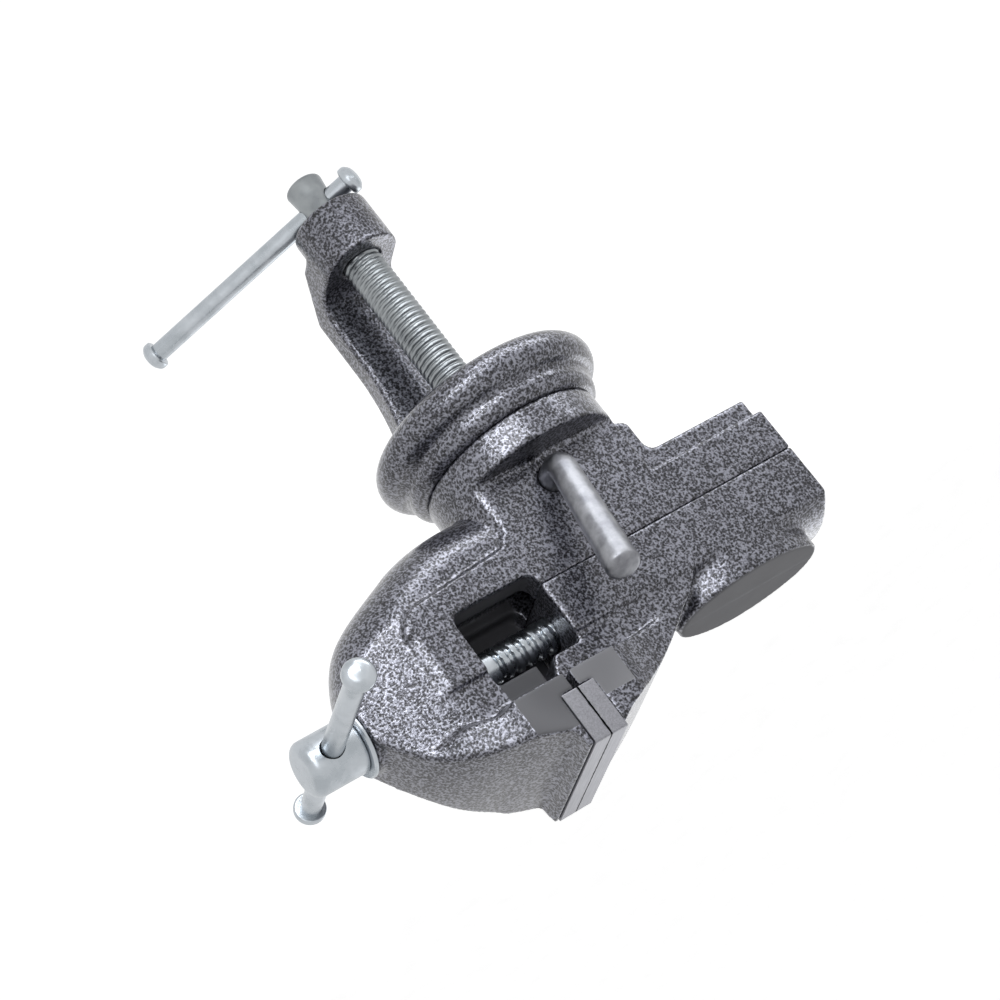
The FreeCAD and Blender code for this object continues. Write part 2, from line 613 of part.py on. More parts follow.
def vise_body():
    """Casting with turning disc, neck block, rail, window, front bulb and fixed jaw head."""
    body = new_body("vise_body")
    lip = "jaw_line - lip_gap"
    bulb_loft(body, "bulb", BULB_SECTIONS)
    bulb_loft(body, "belly", BELLY_SECTIONS)

    room = sketch_on(body, "YZ_Plane", "jaw_room")
    outline(room, [
        ("block_front + 4", "window_floor"),
        ("block_front + 4", "plate_top + 2"),
        ("fixed_seat", "plate_top + 2"),
        ("fixed_seat", "plate_bottom"),
        (lip, "plate_bottom"),
        (lip, "neck_bottom"),
        ("window_front", "neck_bottom"),
        ("window_front", "window_floor"),
    ])
    pocket(body, "jaw_room", room)

    rib = sketch_on(body, "YZ_Plane", "plate_rib")
    outline(rib, [
        ("fixed_seat", "plate_top - 9"),
        ("fixed_seat", "plate_top - 0.4"),
        ("fixed_seat - 1.2", "plate_top - 0.4"),
        ("fixed_seat - 2", "plate_top - 1.2", "0.8", 1),
        ("fixed_seat - 2.8", "plate_top - 7"),
        ("fixed_seat - 2.8", "plate_top - 9"),
    ])
    pad(body, "plate_rib", rib, "jaw_width", both_sides=True)

    side = sketch_on(body, "YZ_Plane", "block_side")
    outline(side, [
        ("block_front", "disc_top - 2"),
        ("block_rear", "disc_top - 2"),
        ("block_rear", "rail_bottom"),
        ("rail_end", "rail_bottom"),
        ("rail_end", "rail_top"),
        ("window_rear", "rail_top"),
        ("window_rear", "window_floor + 3"),
        ("window_rear - 3", "window_floor", "3", -1),
        ("window_front + 4", "window_floor"),
        ("window_front", "window_floor + 4", "4", -1),
        ("window_front", "screw_height + 6.5"),
        ("pad_front - pad_slope", "screw_height + 6.5"),
        ("pad_front - pad_slope", "window_floor + 1"),
        ("window_front - 5", "rail_bottom + 2.2", "12", 1),
        ("block_front - 4", "rail_bottom - 0.8"),
        ("block_front", "rail_bottom - 4.8", "4", 1),
    ])
    pad(body, "block", side, "body_width", both_sides=True)
    slope = sketch_on(body, "XY_Plane", "pad_slope_plan", "screw_height + 6.5")
    for sign in ("1", "-1"):
        outline(slope, [
            (f"{sign} * half_body", "pad_front"),
            (f"{sign} * half_panel", "pad_front - pad_slope"),
            (f"{sign} * half_panel", "pad_front - pad_slope - 1"),
            (f"{sign} * (half_body + 1)", "pad_front - pad_slope - 1"),
            (f"{sign} * (half_body + 1)", "pad_front"),
        ])
    pocket(body, "pad_slope", slope, "screw_height + 6.5 - window_floor")
    inner = sketch_on(body, "YZ_Plane", "back_wall_side", "half_body - back_wall")
    box_outline(inner, "window_front - 2", "window_rear - 0.3", "window_floor - 2", "neck_bottom - 0.5")
    pad(body, "window_back", inner, "back_wall - panel_step")

    disc = sketch_on(body, "XY_Plane", "disc_circle", "flange_height + swivel_gap")
    circle(disc, "seat_radius")
    pad(body, "disc", disc, "disc_height - swivel_gap")
    neck = sketch_on(body, "XY_Plane", "neck_plan", "disc_top - 1")
    outline(neck, [
        ("half_body", "block_front"),
        ("half_body", "0"),
        ("-half_body", "0"),
        ("-half_body", "block_front"),
        ("half_body", "block_front", "seat_radius", 1),
    ][1:])
    pad(body, "neck", neck, "rail_bottom - disc_top - 2")
    edges = sketch_on(body, "XY_Plane", "neck_edge_plan", "neck_edge_top")
    for sign in ("1", "-1"):
        outline(edges, [
            (f"{sign} * half_body", "edge_y"),
            (f"{sign} * (half_body - block_edge) * edge_share", "edge_y * edge_share", "block_edge", -int(sign)),
            (f"{sign} * half_body", "edge_y * edge_share - 1.5"),
            (f"{sign} * (half_body + 1)", "edge_y * edge_share - 1.5"),
            (f"{sign} * (half_body + 1)", "edge_y"),
        ])
    pocket(body, "neck_edges", edges, "neck_edge_top - disc_top")
    rib = sketch_on(body, "YZ_Plane", "rib_side")
    outline(rib, [
        ("block_rear - 2", "rail_bottom + 1"),
        ("block_rear - 2", "disc_top + 1"),
        ("block_rear + rear_rib_depth - 3.5", "disc_top + 1"),
        ("block_rear + rear_rib_depth", "disc_top + 4.5", "3.5", 1),
        ("block_rear + rear_rib_depth", "rail_bottom - rib_depth - 4"),
        ("block_rear + rear_rib_depth + 4", "rail_bottom - rib_depth", "4", -1),
        ("rail_end", "rail_bottom - rib_depth"),
        ("rail_end", "rail_bottom + 1"),
    ])
    pad(body, "rail_rib", rib, "rib_width", both_sides=True)

    cut_body_bores(body)
    return body


def cut_body_bores(body):
    """Guide slot, keeper chamber, swivel bore, lock hole, screw bore and screw holes of the body."""
    slot = sketch_on(body, "XZ_Plane", "slot_section", "-rail_end - 1")
    half_slot, half_chamber = "slot_width / 2", "chamber_width / 2"
    low = "chamber_top - chamber_height"
    outline(slot, [
        (half_slot, "rail_top + 1"),
        (f"-{half_slot}", "rail_top + 1"),
        (f"-{half_slot}", "chamber_top"),
        (f"-{half_chamber}", "chamber_top"),
        (f"-{half_chamber}", low),
        (half_chamber, low),
        (half_chamber, "chamber_top"),
        (half_slot, "chamber_top"),
    ])
    pocket(body, "guide_slot", slot, "rail_end + 1 - slot_front", backwards=True)
    trough = sketch_on(body, "XY_Plane", "trough_plan", "rail_top + 1")
    box_outline(trough, f"-{half_slot}", half_slot, "window_front + 4", "slot_front + 1")
    pocket(body, "trough", trough, "slot_depth + 1")

    swivel = sketch_on(body, "XY_Plane", "swivel_circle", "flange_height - 1")
    circle(swivel, "spigot_radius + spigot_clearance")
    pocket(body, "swivel_bore", swivel, "spigot_top - flange_height + 1.5", backwards=True)
    lock = sketch_on(body, "YZ_Plane", "lock_circle", "-half_body - 1")
    circle(lock, "lock_diameter / 2 + lock_clearance", "lock_offset", "lock_height")
    pocket(body, "lock_hole", lock, "half_body + 1 - spigot_radius / 2", backwards=True)

    boss = sketch_on(body, "XZ_Plane", "washer_boss", "-bulb_front - 8")
    circle(boss, "washer_diameter / 2 - 0.5", "0", "screw_height")
    pad(body, "washer_boss", boss, "8")
    bore = sketch_on(body, "XZ_Plane", "screw_circle", "-bulb_front + 1")
    circle(bore, "screw_radius + screw_clearance", "0", "screw_height")
    pocket(body, "screw_bore", bore, "window_front - bulb_front + 2")
    holes = sketch_on(body, "XZ_Plane", "plate_holes", "-fixed_seat - 1")
    plate_holes(holes)
    pocket(body, "plate_screw_holes", holes, "plate_screw_length - plate_thickness + 2", backwards=True)


def plate_holes(sketch):
    """The two screw holes behind a jaw plate."""
    for sign in ("1", "-1"):
        circle(sketch, "plate_screw_diameter / 2 + screw_hole_clearance",
               f"{sign} * plate_screw_spacing / 2", "plate_top - plate_screw_drop")


# ---------------------------------------------------------------- moving jaw

def jaw_back(low):
    """Sweep from the top of the moving jaw down to the anvil, as outline corners ending at height low."""
    return [
        ("moving_seat", "plate_top - 1.5"),
        ("moving_seat + 6", "plate_top - 5"),
        ("back_foot", "anvil_top - 2", "160", -1),
        ("back_foot + 12", low, "34", -1),
    ]


def moving_jaw():
    """Casting that slides on the rail: slide, keel, jaw head and anvil."""
    body = new_body("moving_jaw")
    lip = "jaw_line + lip_gap"
    slide = sketch_on(body, "YZ_Plane", "slide_side")
    outline(slide, [
        ("window_rear", "rail_top"),
        ("rail_end", "rail_top"),
        ("rail_end", "ledge_height"),
        ("window_rear", "ledge_height"),
    ])
    pad(body, "slide", slide, "body_width", both_sides=True)
    crown = sketch_on(body, "XZ_Plane", "crown_section", "-rail_end")
    arch = "(half_body * half_body + crown_rise * crown_rise) / (2 * crown_rise)"
    outline(crown, [
        ("-half_body", "ledge_height - 4"),
        ("half_body", "ledge_height - 4"),
        ("half_body", "ledge_height"),
        ("-half_body", "ledge_height", arch, 1),
    ])
    pad(body, "crown", crown, "rail_end - back_foot")
    web = sketch_on(body, "YZ_Plane", "web_side")
    outline(web, [
        (lip, "plate_bottom"),
        ("moving_seat", "plate_bottom"),
        *jaw_back("ledge_height"),
        ("back_foot + 12", "ledge_height - 2"),
        ("window_rear", "ledge_height - 2"),
        ("window_rear", "neck_bottom"),
        (f"{lip} + 5", "neck_bottom"),
        (lip, "head_bottom - 2"),
    ])
    pad(body, "web", web, "2 * half_panel", both_sides=True)
    head = sketch_on(body, "YZ_Plane", "head_side")
    outline(head, [
        (lip, "head_bottom"),
        (lip, "plate_bottom"),
        ("moving_seat", "plate_bottom"),
        *jaw_back("ledge_height")[:3],
        ("back_foot", "head_bottom - 5"),
        ("moving_seat + 12", "head_bottom"),
    ])
    pad(body, "head", head, "jaw_width", both_sides=True)
    plan = sketch_on(body, "XY_Plane", "head_plan", "head_bottom - 6")
    for sign in ("1", "-1"):
        outline(plan, [
            (f"{sign} * (half_jaw + 1)", "moving_seat + 12"),
            (f"{sign} * half_jaw", "moving_seat + 12"),
            (f"{sign} * half_panel", "back_foot - 6", "60", -int(sign)),
            (f"{sign} * half_panel", "back_foot + 6"),
            (f"{sign} * (half_jaw + 1)", "back_foot + 6"),
        ])
    pocket(body, "head_taper", plan, "plate_top - head_bottom + 6", backwards=True)

    anvil = sketch_on(body, "XY_Plane", "anvil_plan", "ledge_height - 2")
    outline(anvil, [
        ("anvil_join_x", "anvil_centre - anvil_join_y", "anvil_nose", 1),
        ("anvil_join_x", "anvil_centre + anvil_join_y", "anvil_side", 1),
        ("-anvil_join_x", "anvil_centre + anvil_join_y", "anvil_nose", 1),
        ("-anvil_join_x", "anvil_centre - anvil_join_y", "anvil_side", 1),
    ])
    pad(body, "anvil", anvil, "anvil_top - ledge_height + 2")
    keel = sketch_on(body, "YZ_Plane", "keel_side")
    box_outline(keel, "keel_front", "keel_rear", "chamber_top", "rail_top + 1")
    pad(body, "keel", keel, "slot_width - 2 * slide_clearance", both_sides=True)

    bore = sketch_on(body, "XZ_Plane", "screw_circle", "-window_rear + 1")
    circle(bore, "screw_radius + screw_clearance", "0", "screw_height")
    pocket(body, "screw_bore", bore, "screw_end - window_rear + 5")
    holes = sketch_on(body, "XZ_Plane", "plate_holes", "-moving_seat + 1")
    plate_holes(holes)
    pocket(body, "plate_screw_holes", holes, "plate_screw_length - plate_thickness + 2")
    taps = sketch_on(body, "XY_Plane", "keeper_holes", "chamber_top - 1")
    for place in keeper_screw_places():
        circle(taps, "keeper_screw_diameter / 2 + screw_hole_clearance", "0", place)
    pocket(body, "keeper_screw_holes", taps, "slot_depth - 1", backwards=True)
    return body


def keeper_screw_places():
    """Y of the keeper's two screws."""
    middle = "(keeper_front + keeper_length / 2)"
    return f"{middle} - keeper_screw_spacing / 2", f"{middle} + keeper_screw_spacing / 2"


def slide_keeper():
    """Strip screwed under the keel, which keeps the moving jaw down on the rail."""
    body = new_body("slide_keeper")
    top = "chamber_top - slide_clearance"
    thickness = "(chamber_height - 2 * slide_clearance)"
    plan = sketch_on(body, "XY_Plane", "keeper_plan", top)
    half = "chamber_width / 2 - slide_clearance"
    box_outline(plan, f"-({half})", half, "keeper_front", "keeper_front + keeper_length")
    pad(body, "strip", plan, thickness, backwards=True)
    shanks = sketch_on(body, "XY_Plane", "shank_holes", top)
    heads = sketch_on(body, "XY_Plane", "head_holes", f"{top} - {thickness}")
    for place in keeper_screw_places():
        circle(shanks, "keeper_screw_diameter / 2 + screw_hole_clearance", "0", place)
        circle(heads, "keeper_screw_head / 2 + screw_hole_clearance", "0", place)
    pocket(body, "shank_holes", shanks, thickness)
    pocket(body, "head_holes", heads, "keeper_head_height + 0.4", backwards=True)
    return body


# ---------------------------------------------------------------- plates and small screws

def jaw_plate(label, back, face_turn):
    """Hardened plate with two countersunk holes; face_turn is the Y direction of its gripping face."""
    body = new_body(label)
    plan = sketch_on(body, "XZ_Plane", "plate_front", f"-({back})")
    box_outline(plan, "-half_jaw", "half_jaw", "plate_bottom", "plate_top")
    pad(body, "plate", plan, "plate_thickness", backwards=face_turn > 0)
    holes = sketch_on(body, "XZ_Plane", "screw_holes", f"-({back})")
    plate_holes(holes)
    pocket(body, "screw_holes", holes, "plate_thickness", backwards=face_turn < 0)
    face = size(back) + face_turn * size("plate_thickness")
    soften(body, "countersinks", "(plate_screw_head - plate_screw_diameter) / 2 + 0.3", kind="Chamfer",
           choose=lambda e: isinstance(e.Curve, Part.Circle) and flat_on(e, "Y", face))
    return body


def primitive(kind, label, **sizes):
    """A primitive solid with its sizes tied to the sheet."""
    item = DOC.addObject(f"Part::{kind}", label)
    for prop, expression in sizes.items():
        bind(item, prop, expression)
    return item


def screw_group(label, places, direction, head_radius, shank_radius, head_length, length, conical):
    """Identical screws in one group; direction points from the head to the tip."""
    screws = []
    for i, place in enumerate(places):
        if conical:
            head = primitive("Cone", f"{label}_head_{i}", Radius1=head_radius, Radius2=shank_radius,
                             Height=head_length)
        else:
            head = primitive("Cylinder", f"{label}_head_{i}", Radius=head_radius, Height=head_length)
        shank = primitive("Cylinder", f"{label}_shank_{i}", Radius=shank_radius, Height=length)
        screw = DOC.addObject("Part::MultiFuse", f"{label}_{i}")
        screw.Shapes = [head, shank]
        screw.Placement = Placement(Vector(*[size(p) for p in place]),
                                    Rotation(Vector(0, 0, 1), direction))
        for axis, expression in zip("xyz", place):
            bind(screw, f"Placement.Base.{axis}", expression)
        screws.append(screw)
    group = DOC.addObject("Part::Compound", label)
    group.Label = label
    group.Links = screws
    return group


def small_screws():
    """Countersunk screws of both plates, and the keeper's screws."""
    middle = "plate_top - plate_screw_drop"
    sides = [f"{sign} * plate_screw_spacing / 2" for sign in ("1", "-1")]
    head, shank = "plate_screw_head / 2", "plate_screw_diameter / 2"
    cone = "(plate_screw_head - plate_screw_diameter) / 2"
    sunk = "0.15"
    return [
        screw_group("fixed_jaw_screws", [(x, f"jaw_line - {sunk}", middle) for x in sides],
                    Vector(0, -1, 0), head, shank, cone, "plate_screw_length", True),
        screw_group("moving_jaw_screws", [(x, f"jaw_line + {sunk}", middle) for x in sides],
                    Vector(0, 1, 0), head, shank, cone, "plate_screw_length", True),
        screw_group("slide_keeper_screws",
                    [("0", y, "chamber_top - chamber_height + slide_clearance + 0.4")
                     for y in keeper_screw_places()],
                    Vector(0, 0, 1), "keeper_screw_head / 2", "keeper_screw_diameter / 2",
                    "keeper_head_height", "chamber_height + 6", False),
    ]


# ---------------------------------------------------------------- main screw and lock lever

def main_screw():
    """Main screw: round head with a cross hole, plain neck, ring groove and threaded end."""
    body = new_body("main_screw")
    radius = "screw_radius"
    ring = "window_front + ring_play"
    section = sketch_on(body, "YZ_Plane", "turned_section")
    outline(section, [
        ("washer_face - head_length", "0"),
        ("screw_end", "0"),
        ("screw_end", f"{radius} - 1.5"),
        ("screw_end - 1.5", radius),
        (f"{ring} + ring_thickness + 0.1", radius),
        (f"{ring} + ring_thickness + 0.1", "screw_neck / 2"),
        (ring, "screw_neck / 2"),
        (ring, radius),
        ("washer_face", radius),
        ("washer_face", "head_diameter / 2 - 0.5"),
        ("washer_face - 0.5", "head_diameter / 2"),
        ("washer_face - head_length + 2.5", "head_diameter / 2"),
        ("washer_face - head_length", "head_diameter / 2 - 2.5", "2.5", 1),
    ])
    revolve(body, "turned", section, "H_Axis")
    hole = sketch_on(body, "YZ_Plane", "cross_hole")
    circle(hole, "handle_diameter / 2 + bar_clearance", "handle_line", "0")
    pocket(body, "handle_hole", hole)
    lift_to_screw(body)
    body.Placement = Placement(body.Placement.Base, Rotation(Vector(0, 1, 0), size("screw_turn")))
    bind(body, "Placement.Rotation.Angle", "screw_turn")
    return body


def lift_to_screw(body):
    """Put a piece that is drawn about the Y axis onto the main screw's axis."""
    body.Placement = Placement(Vector(0, 0, size("screw_height")), Rotation())
    bind(body, "Placement.Base.z", "screw_height")


def ring_piece(label, start, thickness, outer, inner):
    """Flat ring round the main screw; start is the Y of the side that faces the handle."""
    body = new_body(label)
    face = sketch_on(body, "XZ_Plane", "ring_face", f"-({start})")
    circle(face, outer)
    circle(face, inner)
    pad(body, "ring", face, thickness, backwards=True)
    lift_to_screw(body)
    return body


def lock_lever():
    """Lock screw and its bent lever in one piece."""
    body = new_body("lock_lever")
    radius = "lock_diameter / 2"
    point = "-(spigot_radius - groove_depth + lock_point_gap)"
    bend_start = "-half_body - lock_reach"
    stud = sketch_on(body, "XZ_Plane", "stud_section")
    outline(stud, [
        (point, "0"),
        (bend_start, "0"),
        (bend_start, radius),
        (f"{point} - 5", radius),
        (f"{point} - 2", "lock_point_radius"),
        (point, "lock_point_radius"),
    ])
    revolve(body, "stud", stud, "H_Axis")

    lean = math.radians(size("lock_lean"))
    turn = math.pi / 2 - lean
    bend, start = size("lock_bend"), size(bend_start)
    centre = Vector(start, bend, 0)
    path = sketch_on(body, "XZ_Plane", "bend_path")
    arc = Part.ArcOfCircle(Part.Circle(centre, Vector(0, 0, 1), bend),
                           1.5 * math.pi - turn, 1.5 * math.pi)
    path.addGeometry(arc, False)
    ring = sketch_on(body, "YZ_Plane", "bend_section", bend_start)
    circle(ring, radius)
    pipe = feature(body, "AdditivePipe", "bend", ring)
    pipe.Spine = path
    DOC.recompute()

    foot = Vector(start - bend * math.sin(turn), 0, bend * (1 - math.cos(turn)))
    reach = Vector(-math.sin(lean), 0, math.cos(lean))
    tilt = Rotation(Vector(0, 1, 0), -size("lock_lean"))
    sections = []
    for name, distance, width in (("arm_foot", 0.0, radius), ("arm_end", size("lock_arm"), "lock_tip_diameter / 2")):
        section = sketch_on(body, "XY_Plane", name)
        section.setExpression("AttachmentOffset.Base.z", None)
        section.AttachmentOffset = Placement(foot + reach * distance, tilt)
        circle(section, width)
        sections.append(section)
    arm = feature(body, "AdditiveLoft", "arm", sections[0])
    arm.Sections = [sections[1]]
    DOC.recompute()
    end = foot + reach * size("lock_arm")
    soften(body, "end_bevel", "1.6", kind="Chamfer",
           choose=lambda e: e.CenterOfMass.distanceToPoint(end) < 0.5 and e.Closed)
    body.Placement = Placement(Vector(0, size("lock_offset"), size("lock_height")),
                               Rotation(Vector(1, 0, 0), size("lock_turn")))
    bind(body, "Placement.Base.y", "lock_offset")
    bind(body, "Placement.Base.z", "lock_height")
    bind(body, "Placement.Rotation.Angle", "lock_turn")
    return body


# ---------------------------------------------------------------- assembly

def build():
    """Every sub-part of the vise."""
    return [
        clamp_frame(),
        clamp_screw(),
        clamp_pad(),
        *handles(),
        vise_body(),
        moving_jaw(),
        slide_keeper(),
        jaw_plate("fixed_jaw_plate", "fixed_seat", 1),
        jaw_plate("moving_jaw_plate", "moving_seat", -1),
        *small_screws(),
        main_screw(),
        ring_piece("main_screw_washer", "washer_face", "washer_thickness", "washer_diameter / 2",
                   "screw_radius + screw_clearance"),
        ring_piece("main_screw_ring", "window_front + ring_play", "ring_thickness",
                   "ring_diameter / 2", "screw_neck / 2 + 0.05"),
        lock_lever(),
    ]


def check(items):
    """Stop if any object of the document failed or any sub-part is not a valid solid."""
    for item in DOC.Objects:
        if "Invalid" in item.State or "Error" in item.State:
            raise RuntimeError(f"{item.Label} failed: {item.State}")
    for item in items:
        if item.Shape.isNull() or not item.Shape.isValid() or not item.Shape.Solids:
            raise RuntimeError(f"{item.Label} is not a valid solid")


fill_sheet()
ITEMS = build()
DOC.recompute()
check(ITEMS)
os.makedirs("parts", exist_ok=True)
for piece in ITEMS:
    piece.Shape.exportStep(os.path.join("parts", piece.Label + ".step"))
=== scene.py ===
"""Dresses the clamp-on swivel bench vise: cast pieces, screws, handles, plates and their finishes."""

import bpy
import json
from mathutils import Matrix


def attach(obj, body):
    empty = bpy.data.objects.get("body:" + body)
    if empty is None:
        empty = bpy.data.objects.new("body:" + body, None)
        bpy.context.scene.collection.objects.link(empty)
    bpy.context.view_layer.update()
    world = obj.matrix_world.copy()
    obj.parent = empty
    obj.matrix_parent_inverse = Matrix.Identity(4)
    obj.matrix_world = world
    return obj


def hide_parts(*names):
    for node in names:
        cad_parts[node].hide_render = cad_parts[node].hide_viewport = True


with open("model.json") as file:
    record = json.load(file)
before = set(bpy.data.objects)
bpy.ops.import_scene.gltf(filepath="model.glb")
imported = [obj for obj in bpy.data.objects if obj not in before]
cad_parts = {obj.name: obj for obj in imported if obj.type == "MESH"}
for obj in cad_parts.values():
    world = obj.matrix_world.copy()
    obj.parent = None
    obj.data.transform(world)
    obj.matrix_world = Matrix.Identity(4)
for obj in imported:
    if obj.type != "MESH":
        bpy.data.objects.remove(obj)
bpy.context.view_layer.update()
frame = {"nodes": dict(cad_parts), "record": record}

import json
import logging
import math
from dataclasses import dataclass
from enum import Enum
from typing import Any, Callable, Iterable, Sequence

import bmesh
import bpy
import numpy as np
from mathutils import Matrix

LOG = logging.getLogger("bench_vise")
MM = 0.001
TURN = 2.0 * math.pi
CORE = 0.05  # radius in millimetres that a turned piece keeps at its ends, so that no face is crushed
JAW_LINE = -47.3  # Y in millimetres of the plane in which the closed jaws meet
SAME_POINT = 1e-6  # metres within which two points are one
SMOOTH_UP_TO = 35.0  # degrees between two faces up to which they are shaded as one
Socket = bpy.types.NodeSocket
Limits = tuple[tuple[float, float], tuple[float, float], tuple[float, float]]


class Slot(Enum):
    """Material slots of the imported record."""

    PAINT = "hammertone_paint"
    MACHINED = "machined_steel"
    ZINC = "bright_zinc"


class Axis(Enum):
    """Direction along which a turned piece is drawn."""

    X = "x"
    Y = "y"
    Z = "z"


# ---------------------------------------------------------------- small tools


def linear(colour: str) -> tuple[float, float, float, float]:
    """Turn an sRGB hex colour into linear values.

    Args:
        colour: Six hex digits, such as "8A8B90".

    Returns:
        Linear red, green, blue and an alpha of one.
    """
    parts = np.array([int(colour[i:i + 2], 16) for i in (0, 2, 4)]) / 255.0
    values = np.where(parts <= 0.04045, parts / 12.92, ((parts + 0.055) / 1.055) ** 2.4)
    return (float(values[0]), float(values[1]), float(values[2]), 1.0)


def connect(tree: bpy.types.NodeTree, node: bpy.types.Node, inputs: dict[Any, Any]) -> None:
    """Set or link inputs of a node.

    Args:
        tree: Node tree of the node.
        node: The node.
        inputs: Input sockets by name or number, each with a value or the socket it is fed from.
    """
    for key, value in inputs.items():
        if isinstance(value, Socket):
            tree.links.new(value, node.inputs[key])
        else:
            node.inputs[key].default_value = value


def add_node(tree: bpy.types.NodeTree, kind: str, settings: dict[str, Any] | None = None,
             inputs: dict[Any, Any] | None = None, stops: Sequence[tuple[float, str]] = ()) -> bpy.types.Node:
    """Add one node with its settings and links.

    Args:
        tree: Node tree that receives the node.
        kind: Blender's type name of the node.
        settings: Properties of the node by name.
        inputs: Input sockets by name or number, each with a value or the socket it is fed from.
        stops: Positions from 0 to 1 with their sRGB hex colours, in order, if it has a colour ramp.

    Returns:
        The new node.
    """
    node = tree.nodes.new(kind)
    for name, value in (settings or {}).items():
        setattr(node, name, value)
    if stops:
        elements = node.color_ramp.elements
        while len(elements) < len(stops):
            elements.new(0.5)
        for element, (position, colour) in zip(elements, stops):
            element.position = position
            element.color = linear(colour)
    connect(tree, node, inputs or {})
    return node


class Graph:
    """Node graph of one material, with its shader and the object coordinates at hand."""

    def __init__(self, name: str) -> None:
        """Start a material with only its shader, its output and its coordinates.

        Args:
            name: Name of the material.
        """
        self.material = bpy.data.materials.new(name)
        self.material.use_nodes = True
        self.tree = self.material.node_tree
        self.tree.nodes.clear()
        self.shader = self.add("BsdfPrincipled")
        self.add("OutputMaterial", inputs={"Surface": self.shader.outputs["BSDF"]})
        self.place: Socket = self.add("TexCoord").outputs["Object"]

    def add(self, kind: str, settings: dict[str, Any] | None = None,
            inputs: dict[Any, Any] | None = None, stops: Sequence[tuple[float, str]] = ()) -> bpy.types.Node:
        """Add one node to this graph, as add_node does, with its kind given without ShaderNode."""
        return add_node(self.tree, f"ShaderNode{kind}", settings, inputs, stops)

    def feed(self, inputs: dict[str, Any]) -> bpy.types.Material:
        """Set inputs of the shader.

        Args:
            inputs: Inputs by name, each with a value or a socket.

        Returns:
            The material.
        """
        connect(self.tree, self.shader, inputs)
        return self.material


# ---------------------------------------------------------------- finishes


